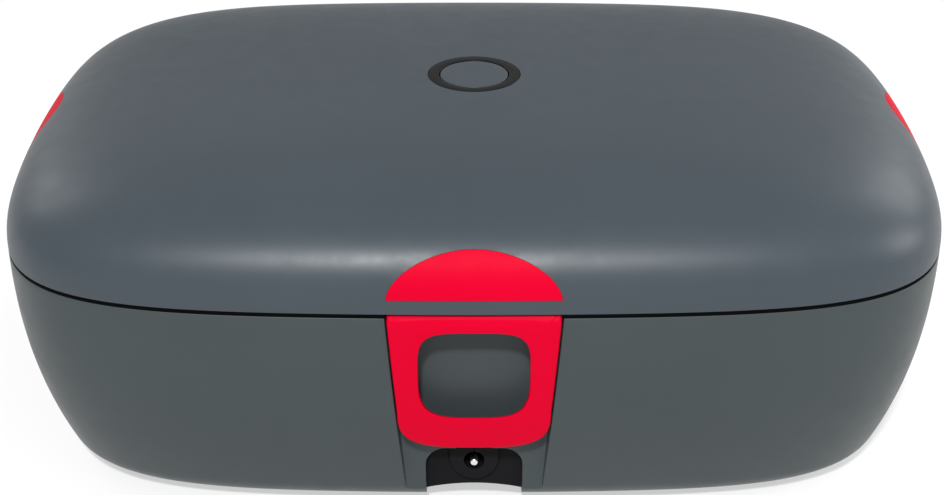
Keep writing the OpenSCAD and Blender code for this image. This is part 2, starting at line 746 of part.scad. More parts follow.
module main_board() {
    color([0.1, 0.4, 0.25])
        difference() {
            union() {
                translate([-board_l / 2, board_front, board_top - board_t]) cube([board_l, board_w, board_t]);
                for (x = chip_x)
                    translate([x, board_front + chip_in, board_top - 0.2]) cube([chip_w, chip_w, chip_h]);
                translate([-2 * coil_w, board_end - coil_w, board_top - 0.2])
                    cylinder(h = coil_w, r = coil_w / 2, $fn = 32);
                translate([-coil_w / 2, board_end - coil_w - 2, board_top - 0.2])
                    cube([coil_w, coil_w, coil_w * 0.6]);
            }
            for (sx = [-1, 1])
                translate([sx * standoff_x, board_front + standoff_in, board_top - board_t - cut])
                    cylinder(h = board_t + 2 * cut, r = screw_r, $fn = 24);
        }
}
module board_screws() {
    color([0.6, 0.6, 0.62])
        for (sx = [-1, 1])
            translate([sx * standoff_x, board_front + standoff_in, board_top + seat + board_head_h])
                mirror([0, 0, 1]) screw(board_screw_l, board_screw_r - hold, screw_r * 1.6, board_head_h);
}
face_t = 1.2;
boss_out = 3;
boss_up = 1;
jack_end = 3;
module dc_socket() {
    color([0.05, 0.05, 0.055])
        difference() {
            union() {
                into_wall(inlet_back - face_t, inlet_back - seat) inlet_outline(-fit / 2);
                into_wall(inlet_back - boss_out, inlet_back - 1)
                    intersection() {
                        inlet_outline(-fit);
                        polygon(concat(
                            [for (i = [0:16]) let(an = -180 * i / 16)
                                [inlet_boss_r * cos(an), socket_z + boss_up + inlet_boss_r * sin(an)]],
                            [for (sx = [-1, 1]) [sx * inlet_boss_r, inlet_z + inlet_h + cut]]));
                    }
                translate([-jack_w / 2, inlet_back - 1, board_top + seat])
                    cube([jack_w, jack_back - inlet_back + 1, jack_h]);
            }
            translate([0, jack_back - jack_end, socket_z])
                rotate([90, 0, 0]) cylinder(h = jack_back - inlet_back + cut, r = socket_r, $fn = 48);
            translate([0, jack_back - jack_end - cut, socket_z])
                rotate([-90, 0, 0]) cylinder(h = jack_end + 2 * cut, r = pin_r + hold, $fn = 32);
        }
}
pin_l = jack_back - inlet_back + 1.5;
pin_tip = 0.5;
module dc_pin() {
    color([0.82, 0.8, 0.78])
        translate([0, jack_back, socket_z])
            rotate([90, 0, 0])
                rotate_extrude($fn = 32)
                    polygon([[0, 0], [pin_r, 0], [pin_r, pin_l - pin_tip], [pin_r - pin_tip, pin_l],
                        [0, pin_l]]);
}
// Leads run from the boards' faces to the heater's tab and the battery's board
lead_r = 0.8;
lead_y = -foil_w / 2 - tab_l / 2;
lead_end = board_end - 5;
module heater_leads() {
    color([0.75, 0.1, 0.1])
        for (dx = [-3, 3])
            wire([[tab_x + dx * 2.5, lead_end, board_top + 0.3], [tab_x + dx * 2.5, lead_end, board_top + 3],
                [tab_x + dx * 2, (lead_end + lead_y) / 2, board_top + 7],
                [tab_x + dx * 1.2, lead_y, foil_z - 4], [tab_x + dx, lead_y, foil_z - 1.5],
                [tab_x + dx, lead_y, foil_z - 0.2]], lead_r);
}
module battery_leads() {
    from = guard_x + board_t;
    side = -guard_w / 2 + 4;
    down = board_end - 2;
    color([0.1, 0.1, 0.1])
        for (dz = [0, 2.6])
            wire([[from + 0.2, side, cell_z + dz], [from + 2, side, cell_z + dz],
                [from + 3.4, side - 2, cell_z + dz], [from + 3.4, side - 14, cell_z + dz],
                [from - 2, down + 3.6, cell_z + dz], [board_l / 2 + 4, down + 1, board_top + 2 + dz],
                [board_l / 2 - 2, down, board_top + 1.2 + dz],
                [board_l / 2 - 6, down, board_top + 1.2 + dz]], lead_r);
}
pin_inset = 0.5;
module hinge_pins() {
    color([0.7, 0.7, 0.72])
        for (sx = [-1, 1])
            translate([sx * hinge_x - hinge_span / 2 + pin_inset, hinge_y, hinge_z])
                rotate([0, 90, 0]) cylinder(h = hinge_span - 2 * pin_inset, r = hinge_pin_r, $fn = 48);
}

module dish() {
    color([0.78, 0.78, 0.79])
        drawn_tray(wall_l, wall_w, dish_r, dish_t, dish_rim, dish_draft, dish_bottom_r,
            dish_bottom_z, dish_rim_z + dish_t);
}
seal_h = 1.5;
seal_w = 2.5;
seal_in = 2.8;
seal_z = dish_rim_z + dish_t + seat;
dish_cover_z = seal_z + seal_h + seat;
dish_cover_in = 1;
panel_in = 6;
panel_l = wall_l - 2 * panel_in;
panel_w = wall_w - 2 * panel_in;
panel_r = dish_r - panel_in;
vent_r = 4;
plug_r = vent_r - 0.2;
plug_low = 1.5;
plug_neck = plug_low + dish_cover_t + seat;
plug_cap_r = 6;
module dish_cover() {
    color([0.75, 0.78, 0.8])
        difference() {
            union() {
                translate([0, 0, dish_cover_z])
                    linear_extrude(dish_cover_t)
                        polygon(round_rect(dish_l - 2 * dish_cover_in, dish_w - 2 * dish_cover_in,
                            dish_r + dish_rim - dish_cover_in));
                translate([0, 0, dish_cover_z])
                    linear_extrude(dish_cover_rise + dish_cover_t)
                        polygon(round_rect(panel_l, panel_w, panel_r));
            }
            translate([0, 0, dish_cover_z - cut])
                linear_extrude(dish_cover_rise + cut)
                    polygon(round_rect(panel_l - 2 * dish_cover_t, panel_w - 2 * dish_cover_t,
                        panel_r - dish_cover_t));
            translate([vent_x, 0, dish_cover_z])
                cylinder(h = dish_cover_rise + dish_cover_t + cut, r = vent_r, $fn = 32);
        }
}
module dish_seal() {
    color([0.85, 0.1, 0.15])
        band(dish_l - 2 * seal_in, dish_w - 2 * seal_in, dish_r + dish_rim - seal_in, seal_w, seal_z, seal_h);
}
module vent_plug() {
    color([0.85, 0.1, 0.15])
        translate([vent_x, 0, dish_cover_z + dish_cover_rise - plug_low])
            rotate_extrude($fn = 32)
                polygon([[0, 0], [plug_r - 0.3, 0], [plug_r, 1.3], [plug_r, plug_neck], [plug_cap_r, plug_neck],
                    [plug_cap_r, plug_neck + 1], [0, plug_neck + 1]]);
}

lug_back = channel_d - 2;
block_d = channel_d - 1;
block_h = 7;
liner_lift = 2;
liner_z = part_z + liner_lift;
board_post_r = 2.6;
board_post_x = ring_r + board_post_r + 0.9;
board_drop = 9;
module dome_block(w) {
    loft(concat([ring(w, lid_bottom)], [for (a = dome_steps) if (a > 4) dome_ring(w, a)]));
}
// The lower part of the dome, as high as the inlays reach
module dome_skirt(w) {
    loft(concat([ring(w, lid_bottom)], [for (a = dome_steps) if (a > 4 && a < 50) dome_ring(w, a)]));
}
module lid_cavity() {
    difference() {
        loft(concat([ring(wall, lid_bottom - cut)], [for (a = dome_steps) if (a > 4) dome_ring(wall, a)]));
        for (side = CLIPS)
            at_clip(side)
                translate([-clip_w / 2, -cut, lid_bottom - 2 * cut])
                    cube([clip_w, block_d + cut, block_h + 2 * cut]);
        for (p = POSTS)
            translate([p.x, p.y, liner_z + liner_t + seat]) cylinder(h = lid_h, r = post_r, $fn = 32);
        for (sx = [-1, 1])
            translate([sx * board_post_x, 0, top_z - board_drop + seat])
                cylinder(h = lid_h, r = board_post_r, $fn = 32);
    }
}
module inlay_outline(grow) {
    polygon(concat([[-inlay_w / 2 - grow, part_z + inlay_lift - grow]],
        [for (i = [16:-1:0]) let(an = 180 * i / 16)
            [-(inlay_w / 2 + grow) * cos(180 - an), part_z + inlay_lift + (inlay_h + grow) * sin(an)]],
        [[inlay_w / 2 + grow, part_z + inlay_lift - grow]]));
}
inlay_reach = 2;
inlay_deep = 16;
module inlay(side) {
    color([0.93, 0.0, 0.2])
        difference() {
            intersection() {
                dome_skirt(0);
                at_clip(side) into_wall(-inlay_reach, inlay_deep) inlay_outline(0);
            }
            dome_skirt(inlay_t);
        }
}
module front_inlay() inlay("front");
module left_inlay() inlay("left");
module right_inlay() inlay("right");

// How far a lid arm stands out behind the skin, and how far it runs up the dome
arm_t = 5.2;
arm_up = 9;
module lid_arm_profile() {
    inner = rear_y(arm_near) + fit + 0.2;
    far = rear_y(arm_far) - wall + root;
    union() {
        polygon([[far, lid_bottom + root], [inner, lid_bottom + 0.1], [inner, hinge_z + 1.5],
            [hinge_y, hinge_z], [hinge_y + hinge_r * 0.96, hinge_z + 1.1],
            [rear_y(arm_near) + arm_t, lid_bottom + 1],
            [rear_y(arm_near) + arm_t * 0.65, lid_bottom + arm_up * 0.6],
            [rear_y(arm_far) - 1, lid_bottom + arm_up], [far, lid_bottom + arm_up - 2]]);
        translate([hinge_y, hinge_z]) circle(r = hinge_r, $fn = 48);
    }
}
module lug_profile() {
    union() {
        polygon([[pivot_y, pivot_z - eye_r], [lug_back, pivot_z - eye_r], [lug_back, lid_bottom + cut],
            [pivot_y + clip_barrel_r + fit, lid_bottom + cut], [pivot_y + clip_barrel_r + fit, pivot_z + eye_r],
            [pivot_y, pivot_z + eye_r]]);
        translate([pivot_y, pivot_z]) circle(r = eye_r, $fn = 32);
    }
}
module clip_bore(r, length) {
    translate([-length / 2, pivot_y, pivot_z]) rotate([0, 90, 0]) cylinder(h = length, r = r, $fn = 32);
}
module lid_shell() {
    color([0.33, 0.36, 0.38])
        difference() {
            union() {
                difference() {
                    dome_block(0);
                    lid_cavity();
                    difference() {
                        union() {
                            for (side = CLIPS)
                                at_clip(side) into_wall(-inlay_reach, inlay_deep) inlay_outline(seat / 2);
                        }
                        dome_skirt(inlay_t + seat / 2);
                    }
                    translate([0, 0, top_z - ring_t]) cylinder(h = ring_t + cut, r = ring_r + seat, $fn = 64);
                    translate([0, 0, top_z - 2 * wall]) cylinder(h = 3 * wall, r = ring_r - 2, $fn = 64);
                }
                for (sx = [-1, 1])
                    translate([sx * hinge_x, 0, 0]) along_wall(arm_w) lid_arm_profile();
                for (side = CLIPS, sx = [-1, 1])
                    at_clip(side) translate([sx * lug_x, 0, 0]) along_wall(lug_w) lug_profile();
            }
            hinge_bore(hinge_pin_r + run);
            for (side = CLIPS)
                at_clip(side) clip_bore(clip_pin_r + hold, clip_w);
            for (p = POSTS)
                translate([p.x, p.y, liner_z]) cylinder(h = liner_screw_l, r = pilot_r, $fn = 24);
            for (sx = [-1, 1])
                translate([sx * board_post_x, 0, top_z - board_drop - cut])
                    cylinder(h = board_screw_l, r = board_screw_r, $fn = 24);
        }
}
liner_in_l = pan_l - 2 * pan_rim;
liner_in_w = pan_w - 2 * pan_rim;
liner_in_r = dish_r + dish_rim;
liner_up = liner_h - liner_lift;
module band(l, w, r, width, z, h) {
    translate([0, 0, z])
        linear_extrude(h)
            difference() {
                polygon(round_rect(l + width, w + width, r + width / 2));
                polygon(round_rect(l - width, w - width, r - width / 2));
            }
}
module lid_liner() {
    color([0.2, 0.22, 0.23])
        difference() {
            union() {
                translate([0, 0, liner_z]) linear_extrude(liner_t) polygon(outline(wall + fit));
                band(gasket_l, gasket_b, gasket_r, holder_w, gasket_z + gasket_h + seat,
                    liner_z - gasket_z - gasket_h);
                translate([0, 0, liner_z])
                    linear_extrude(liner_up) polygon(round_rect(liner_in_l, liner_in_w, liner_in_r));
            }
            translate([0, 0, liner_z - cut])
                linear_extrude(liner_up - liner_t + cut)
                    polygon(round_rect(liner_in_l - 2 * liner_t, liner_in_w - 2 * liner_t,
                        liner_in_r - liner_t));
            for (side = CLIPS)
                at_clip(side)
                    translate([-clip_w / 2 - fit, -cut, liner_z - cut])
                        cube([clip_w + 2 * fit, block_d + fit + cut, liner_t + 2 * cut]);
            for (p = POSTS)
                translate([p.x, p.y, liner_z - cut]) cylinder(h = liner_t + 2 * cut, r = hole_r, $fn = 24);
        }
}
module liner_screws() {
    color([0.6, 0.6, 0.62])
        for (p = POSTS)
            translate([p.x, p.y, liner_z - seat - head_h])
                screw(liner_screw_l, pilot_r - hold, head_r, head_h);
}
module lid_gasket() {
    color([0.06, 0.06, 0.06])
        band(gasket_l, gasket_b, gasket_r, gasket_w, gasket_z, gasket_h);
}
foam_in = 7;
foam_gap = 4.5;
foam_z = part_z + liner_h + fit;
foam_top = dome_z(wall, 0.8) - fit;
module lid_foam() {
    color([0.9, 0.9, 0.88])
        translate([0, 0, foam_z])
            difference() {
                linear_extrude(foam_top - foam_z)
                    polygon(round_rect(liner_in_l - 2 * foam_in, liner_in_w - 2 * foam_in, dish_r));
                translate([0, 0, -cut])
                    linear_extrude(lid_h)
                        polygon(round_rect(2 * (board_post_x + foam_gap), 2 * (ring_r + 1.7), foam_gap));
            }
}
module button_ring() {
    color([0.03, 0.03, 0.035])
        translate([0, 0, top_z - ring_t + seat])
            rotate_extrude($fn = 96)
                polygon([[ring_in_r, 0], [ring_r, 0], [ring_r, ring_t - seat - 0.2],
                    [ring_r - 0.3, ring_t - seat], [ring_in_r + 0.3, ring_t - seat],
                    [ring_in_r, ring_t - seat - 0.3]]);
}
cap_r = ring_in_r - cap_gap;
plunger_r = 1.6;
plunger_set = 1.6;
switch_board_end = 4;
switch_board_w = 14;
switch_w = 6.2;
switch_h = 3.4;
switch_top = top_z - board_drop + switch_h;
plunger_top = switch_top + button_travel + 0.2;
module button_cap() {
    color([0.33, 0.36, 0.38])
        rotate_extrude($fn = 96)
            polygon([[0, plunger_top + 0.05], [2.5, plunger_top + 0.05], [2.5, top_z - ring_t - 1.2],
                [ring_r - 2.6, top_z - ring_t - 1.2], [ring_r - 2.6, top_z - ring_t - 0.2],
                [cap_r, top_z - ring_t - 0.2], [cap_r, top_z - 0.3], [cap_r - 0.3, top_z], [0, top_z]]);
}
module switch_plunger() {
    color([0.9, 0.9, 0.9])
        translate([0, 0, switch_top - plunger_set])
            cylinder(h = plunger_top - switch_top + plunger_set, r = plunger_r, $fn = 32);
}
module button_board() {
    color([0.1, 0.4, 0.25])
        difference() {
            union() {
                translate([0, 0, top_z - board_drop - board_t / 2])
                    cube([2 * (board_post_x + switch_board_end), switch_board_w, board_t], center = true);
                translate([-switch_w / 2, -switch_w / 2, top_z - board_drop - 0.2])
                    cube([switch_w, switch_w, switch_h + 0.2]);
            }
            translate([0, 0, switch_top - plunger_set - button_travel - fit])
                cylinder(h = switch_h * 2, r = plunger_r + run + hold, $fn = 32);
            for (sx = [-1, 1])
                translate([sx * board_post_x, 0, top_z - board_drop - board_t - cut])
                    cylinder(h = board_t + 2 * cut, r = pilot_r, $fn = 24);
        }
}
module button_screws() {
    color([0.6, 0.6, 0.62])
        for (sx = [-1, 1])
            translate([sx * board_post_x, 0, top_z - board_drop - board_t - board_head_h])
                screw(board_screw_l, board_screw_r - hold, screw_r * 1.5, board_head_h - seat);
}
module clip_pins() {
    color([0.7, 0.7, 0.72])
        for (side = CLIPS)
            at_clip(side) clip_bore(clip_pin_r, clip_w - 2);
}

module clip(side) {
    color([0.93, 0.0, 0.2])
        at_clip(side)
            difference() {
                union() {
                    intersection() {
                        along_wall(clip_w + 2) polygon(clip_profile);
                        into_wall(-2, channel_d) polygon(clip_front(0));
                    }
                    along_wall(catch_w - 1)
                        polygon([[draw_in(catch_z) + clip_t - 0.5, catch_z - 0.6], [catch_y - 0.8, catch_z],
                            [catch_y, catch_z + 0.8], [catch_y, catch_z + catch_h],
                            [draw_in(catch_z + catch_h) + clip_t - 0.5, catch_z + catch_h]]);
                }
                translate([0, 0, window_z])
                    into_wall(-3, channel_d) polygon(ellipse_points(window_w / 2, window_h / 2, 5, 40));
                for (sx = [-1, 1])
                    translate([sx * lug_x - lug_w / 2 - fit, clip_skin, pivot_z - eye_r - fit])
                        cube([lug_w + 2 * fit, channel_d, 3 * clip_barrel_r]);
                clip_bore(clip_pin_r + run, clip_w + 2);
            }
}
module front_clip() clip("front");
module left_clip() clip("left");
module right_clip() clip("right");

placed() base_shell();
placed() bottom_cover();
placed() rubber_feet();
placed() cover_screws();
placed() inner_deck();
placed() deck_screws();
placed() heating_pan();
placed() heater_foil();
placed() insulation_pad();
placed() thermal_fuse();
placed() pan_sensor();
placed() battery_tray();
placed() battery_cells();
placed() cell_straps();
placed() protection_board();
placed() main_board();
placed() board_screws();
placed() dc_socket();
placed() dc_pin();
placed() heater_leads();
placed() battery_leads();
placed() hinge_pins();
placed() dish();
placed() dish_cover();
placed() dish_seal();
placed() vent_plug();
placed() lid_shell();
placed() lid_liner();
placed() lid_foam();
placed() lid_gasket();
placed() liner_screws();
placed() front_inlay();
placed() left_inlay();
placed() right_inlay();
placed() button_ring();
placed() button_board();
placed() button_screws();
placed() clip_pins();
placed() button_cap();
placed() switch_plunger();
placed() front_clip();
placed() left_clip();
placed() right_clip();
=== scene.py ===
import functools
import math

import bmesh
import bpy
from mathutils import Matrix, Vector


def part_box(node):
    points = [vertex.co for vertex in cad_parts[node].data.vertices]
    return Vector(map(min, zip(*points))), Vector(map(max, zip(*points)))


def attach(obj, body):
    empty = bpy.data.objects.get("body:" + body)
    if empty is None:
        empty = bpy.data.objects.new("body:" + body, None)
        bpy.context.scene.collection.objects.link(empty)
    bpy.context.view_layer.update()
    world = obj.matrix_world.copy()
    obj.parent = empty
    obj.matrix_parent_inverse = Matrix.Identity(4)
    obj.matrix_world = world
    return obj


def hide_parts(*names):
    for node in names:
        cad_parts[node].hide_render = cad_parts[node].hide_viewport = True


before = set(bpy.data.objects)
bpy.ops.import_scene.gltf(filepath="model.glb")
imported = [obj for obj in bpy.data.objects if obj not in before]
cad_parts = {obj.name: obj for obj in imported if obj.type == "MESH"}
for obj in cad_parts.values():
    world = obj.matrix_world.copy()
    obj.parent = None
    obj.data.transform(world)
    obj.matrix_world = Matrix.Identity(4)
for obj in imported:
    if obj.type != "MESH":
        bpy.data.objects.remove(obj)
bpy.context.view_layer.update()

bl_info = {
    "name": "Electric Lunch Box",
    "version": (1, 0, 0),
    "blender": (4, 5, 0),
    "location": "View3D > Sidebar > Lunch Box",
    "description": "Moulded shells, red clips and heated dish of an electric lunch box",
    "category": "Object",
}

BASE_LOW, BASE_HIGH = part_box("base_shell")
LID_LOW, LID_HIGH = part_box("lid_shell")
CLIP_LOW, CLIP_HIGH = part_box("front_clip")

# Points round the moulded outline, and round each corner of a rounded rectangle
OUTLINE_POINTS = 256
CORNER_STEPS = 14
# Degrees of the pivot barrel that a clip's front face runs on over
BARREL_WRAP = 100
# Shell faces that meet at less than this many degrees are shaded as one surface
SMOOTH_ANGLE = 36


def length(name, description, default):
    return bpy.props.FloatProperty(
        name=name, description=description, default=default, unit="LENGTH", precision=5
    )


def number(name, description, default):
    return bpy.props.FloatProperty(name=name, description=description, default=default, precision=3)


def colour(name, description, default):
    return bpy.props.FloatVectorProperty(
        name=name, description=description, default=default, size=3, subtype="COLOR", min=0, max=1
    )


class BodySizes(bpy.types.PropertyGroup):
    """Sizes of the moulded base and lid."""

    half_length: length("Half length", "Half the box's length over the parting line", LID_HIGH.x)
    half_width: length("Half width", "Half the box's width over the parting line", 0.091)
    shift: length("Shift", "Moves the box so that the hinge and front stand even about the origin",
                  LID_LOW.y + 0.091)
    parting: length("Parting height", "Height of the line between base and lid", 0.0675)
    top: length("Top", "Height of the button's face", LID_HIGH.z)
    foot: length("Foot height", "How far the rubber feet lift the underside", 0.0015)
    base_height: length("Base height", "Underside to parting line", 0.066)
    lid_height: length("Lid height", "Parting line to crown", 0.028)
    seam: length("Seam", "Gap between base and lid", 0.0006)
    rim_drop: length("Rim drop", "How far the base's rim stands below the gap", 0.0005)
    wall: length("Wall", "Thickness of the shells", 0.0025)
    draw: length("Draw-in", "How far the base draws in at its underside", 0.0128)
    edge: length("Edge radius", "Round where the base turns into its underside", 0.0075)
    rim_round: length("Rim rounding", "Round on the two rims at the parting line", 0.0002)
    cut_round: length("Cut rounding", "Round on the edges of channels and pockets", 0.0003)
    corner: number("Corner squareness", "Power of the outline's superellipse", 5.8)
    bow: number("Side bow", "How much the sides bow, as a share of the half size", 0.062)
    draw_power: number("Draw power", "How late the draw-in starts", 2.24)
    dome_across: number("Dome across", "Fullness of the lid across", 4.0)
    dome_up: number("Dome up", "Fullness of the lid upwards", 2.65)
    floor: length("Floor", "Height of the base's inner floor", 0.006)
    plate: length("Cover plate", "Thickness of the bottom cover's recess", 0.0021)
    plate_length: length("Cover length", "Length of the bottom cover's recess", 0.208)
    plate_width: length("Cover width", "Width of the bottom cover's recess", 0.130)
    plate_corner: length("Cover corner", "Corner radius of the recess", 0.024)
    ledge: length("Ledge", "Width of the ledge that the bottom cover screws to", 0.009)


class ClipSizes(bpy.types.PropertyGroup):
    """Sizes of the three clips and their channels."""

    width: length("Width at pivot", "Width of a clip at its barrel", 0.0445)
    end_width: length("Width at end", "Width of a clip above its rounded end", 0.0402)
    end_height: length("End height", "Height of the rounded end", 0.013)
    end_z: length("End", "Height of a clip's lowest point", CLIP_LOW.z)
    plate: length("Plate", "Thickness of a clip", 0.003)
    edge: length("Edge", "Round on a clip's outer edge", 0.0007)
    barrel: length("Barrel", "Radius of the pivot barrel", 0.0026)
    pin: length("Pin", "Radius of the steel pin", 0.00075)
    window_width: length("Window width", "Width of the finger window", 0.0288)
    window_top: length("Window top", "Height of the window's upper edge", 0.0623)
    window_low: length("Window bottom", "Height of the window's lower edge in front", 0.0356)
    window_edge: length("Window edge", "Round on the window's front edge", 0.0003)
    window_draft: number("Window draft", "How fast the window's lower wall falls towards the back", 0.66)
    channel: length("Channel depth", "Depth of the clip's channel from the skin", 0.0105)
    front_gap: length("Front gap", "Gap beside the front clip", 0.0004)
    side_gap: length("Side gap", "Gap beside a side clip", 0.0016)
    side_place: length("Side place", "How far the side clips sit behind the middle", 0.007)
    lug_place: length("Lug place", "Distance of a lug from the clip's middle", 0.011)
    lug_width: length("Lug width", "Width of a lug under the lid", 0.005)
    lug_wall: length("Lug wall", "Wall of a lug's eye round the pin", 0.00085)
    neck: length("Neck", "Half the thickness of the neck between eye and lid", 0.0009)
    neck_down: number("Neck angle", "How many degrees the neck runs down from the eye", 15)
    swing: number("Swing", "How many degrees a clip swings open", 90)
    room: length("Room", "Clearance between a clip and its lugs", 0.0003)


class InletSizes(bpy.types.PropertyGroup):
    """Sizes of the power inlet's pocket and the arch under it."""

    width: length("Width", "Width of the pocket", 0.026)
    height: length("Height", "Height of the pocket", 0.0135)
    depth: length("Depth", "Depth of the pocket behind the channel floor", 0.0046)
    low: length("Bottom", "Height of the pocket's bottom", 0.007)
    corner: length("Corner", "Radius of the pocket's upper corners", 0.0052)
    arch_top: length("Arch top", "Height of the arch under the pocket, at its middle", 0.0066)
    arch_rise: length("Arch rise", "How much higher the arch is at its middle than at its ends", 0.0015)
    arch_fall: number("Arch fall", "How fast the arch's ceiling falls towards the back", 0.6)
    arch_end: length("Arch end", "How far the arch runs in behind the pocket", 0.007)
    lip: length("Lip", "Width of the lip under the socket's face", 0.0005)
    lip_thick: length("Lip thickness", "Thickness of the lip under the socket's face", 0.0004)
    face: length("Face", "Thickness of the socket's face", 0.0012)
    boss: length("Boss radius", "Radius of the boss round the socket's hole", 0.00685)
    boss_out: length("Boss depth", "How far the boss stands out of the face", 0.003)
    hole: length("Hole", "Radius of the socket's hole", 0.0028)
    hole_z: length("Hole height", "Height of the hole's middle", 0.0157)
    pin: length("Pin", "Radius of the socket's pin", 0.00105)
    jack_width: length("Jack width", "Width of the socket's body", 0.009)
    jack_low: length("Jack bottom", "Height of the socket's underside", 0.0101)
    jack_height: length("Jack height", "Height of the socket's body", 0.011)


class HingeSizes(bpy.types.PropertyGroup):
    """Sizes of the two rear hinges."""

    axis_y: length("Axis place", "Distance of the hinge line behind the middle", 0.0951298)
    axis_z: length("Axis height", "Height of the hinge line", 0.0555)
    place: length("Place", "Distance of a hinge from the middle", 0.042)
    arm: length("Arm width", "Width of a lid arm", 0.022)
    barrel: length("Barrel width", "Width of a base barrel", 0.0097)
    radius: length("Radius", "Outer radius of the hinge", 0.004)
    pin: length("Pin radius", "Radius of the steel pin", 0.0015)
    gap: length("Gap", "Gap between arm and barrel", 0.0003)
    gusset: length("Gusset", "How far a barrel's gusset runs down the wall", 0.010)
    arm_out: length("Arm reach", "How far an arm stands out behind the skin", 0.0052)
    arm_up: length("Arm height", "How far an arm runs up the lid", 0.009)


class LidSizes(bpy.types.PropertyGroup):
    """Sizes of the inlays, the power button and the lid's inside."""

    inlay_width: length("Inlay width", "Width of a half-moon inlay", 0.0444)
    inlay_height: length("Inlay height", "Height of a half-moon inlay", 0.0117)
    inlay_lift: length("Inlay lift", "Height of its straight edge above the parting line", 0.0043)
    inlay_set: number("Inlay set", "Degrees of the half-moon's ellipse left off at each end", 3)
    inlay_thick: length("Inlay thickness", "Thickness of an inlay", 0.0012)
    ring: length("Ring radius", "Outer radius of the button's ring", 0.0133)
    ring_inner: length("Ring inner radius", "Inner radius of the button's ring", 0.01005)
    ring_thick: length("Ring thickness", "Thickness of the button's ring", 0.0016)
    cap_gap: length("Cap gap", "Gap round the button", 0.0003)
    cap_low: length("Cap stem", "Height of the button's stem end", 0.09065)
    liner_z: length("Liner height", "Height of the liner plate's underside", 0.0695)
    liner_thick: length("Liner thickness", "Thickness of the liner", 0.002)
    liner_rise: length("Liner rise", "Height of the liner's raised middle", 0.011)
    liner_length: length("Liner length", "Length of the raised middle", 0.210)
    liner_width: length("Liner width", "Width of the raised middle", 0.132)
    liner_corner: length("Liner corner", "Corner radius of the raised middle", 0.0265)
    gasket_length: length("Gasket length", "Length of the gasket's middle line", 0.224)
    gasket_breadth: length("Gasket breadth", "Breadth of the gasket's middle line", 0.146)
    gasket_corner: length("Gasket corner", "Corner radius of the gasket's middle line", 0.031)
    gasket_width: length("Gasket width", "Width of the gasket", 0.005)
    gasket_height: length("Gasket height", "Height of the gasket", 0.0025)
    gasket_z: length("Gasket place", "Height of the gasket's underside", 0.0638)
    holder: length("Holder width", "Width of the channel that holds the gasket", 0.0064)


class DishSizes(bpy.types.PropertyGroup):
    """Sizes of the dish, its cover, the heated well and the deck round it."""

    wall_length: length("Wall length", "Length of the dish over its walls", 0.201)
    wall_width: length("Wall width", "Width of the dish over its walls", 0.123)
    corner: length("Corner", "Corner radius of the dish", 0.022)
    rim: length("Rim", "Width of the dish's rim", 0.0045)
    sheet: length("Sheet", "Thickness of the dish's steel", 0.0008)
    lean: length("Lean", "How far the walls lean in at the bottom", 0.0055)
    low_round: length("Low rounding", "Radius between wall and bottom", 0.006)
    bottom: length("Bottom", "Height of the dish's underside", 0.0297)
    rim_z: length("Rim height", "Height of the rim's underside", 0.0649)
    pan_sheet: length("Well sheet", "Thickness of the well's aluminium", 0.0012)
    pan_gap: length("Well gap", "Gap between dish and well", 0.0008)
    pan_rim: length("Well rim", "How far the well's rim stands out past the dish", 0.002)
    pan_rim_z: length("Well rim height", "Height of the well rim's underside", 0.0636)
    pan_bottom: length("Well bottom", "Height of the well's floor", 0.0296)
    cover_z: length("Cover place", "Height of the dish cover's underside", 0.0674)
    cover_sheet: length("Cover sheet", "Thickness of the dish cover", 0.0016)
    cover_rise: length("Cover rise", "Rise of the cover's middle", 0.004)
    cover_in: length("Cover inset", "How far the cover stands inside the dish's rim", 0.001)
    panel_in: length("Panel inset", "How far the raised middle stands inside the walls", 0.006)
    vent_place: length("Vent place", "Distance of the vent from the middle", 0.060)
    vent: length("Vent radius", "Radius of the vent hole", 0.004)
    seal_in: length("Seal inset", "How far the seal stands inside the dish's rim", 0.0028)
    seal_width: length("Seal width", "Width of the seal", 0.0025)
    seal_height: length("Seal height", "Height of the seal", 0.0015)
    deck_z: length("Deck height", "Height of the deck's top", 0.0635)
    deck_thick: length("Deck thickness", "Thickness of the deck", 0.0025)
    collar: length("Collar", "Thickness of the collar under the deck", 0.002)
    collar_drop: length("Collar drop", "Depth of the collar under the deck", 0.005)
    opening_gap: length("Opening gap", "Gap between the well and the deck", 0.0005)
    post_place: bpy.props.FloatVectorProperty(
        name="Case screws", description="Place of a case screw from the middle", default=(0.072, 0.0815),
        size=2, subtype="XYZ_LENGTH", unit="LENGTH", precision=4,
    )
    screw_hole: length("Screw hole", "Radius of a case screw's hole", 0.0017)


class Colours(bpy.types.PropertyGroup):
    """Colours of the outer pieces."""

    base: colour("Base", "Moulded base", (0.033, 0.043, 0.046))
    lid: colour("Lid", "Domed lid", (0.036, 0.047, 0.057))
    red: colour("Red", "Clips and inlays", (0.5, 0.0, 0.018))
    ring: colour("Ring", "Ring round the power button", (0.002, 0.002, 0.002))
    socket: colour("Socket", "Moulded power socket", (0.006, 0.006, 0.007))
    deck: colour("Deck", "Deck and liner inside the box", (0.045, 0.052, 0.058))
    floor: colour("Floor", "Studio floor", (0.35, 0.35, 0.35))


def signed_power(value, power):
    return math.copysign(abs(value) ** power, value)


@functools.lru_cache(maxsize=4)
def unit_outline(corner):
    """Directions round a superellipse, a little closer together at its corners."""
    points = []
    for k in range(OUTLINE_POINTS):
        turn = 2 * math.pi * k / OUTLINE_POINTS
        across = signed_power(math.cos(turn), 0.75)
        along = signed_power(math.sin(turn), 0.75)
        reach = (abs(across) ** corner + abs(along) ** corner) ** (-1 / corner)
        points.append((across * reach, along * reach))
    return points


def outline_ring(body, inset, z, share=1.0):
    """The box's bowed outline, drawn in by an inset and shrunk by a share."""
    length_half = share * (body.half_length - inset)
    width_half = share * (body.half_width - inset)
    return [
        Vector((x * length_half * (1 - body.bow * y * y), y * width_half * (1 - body.bow * x * x), z))
        for x, y in unit_outline(body.corner)
    ]


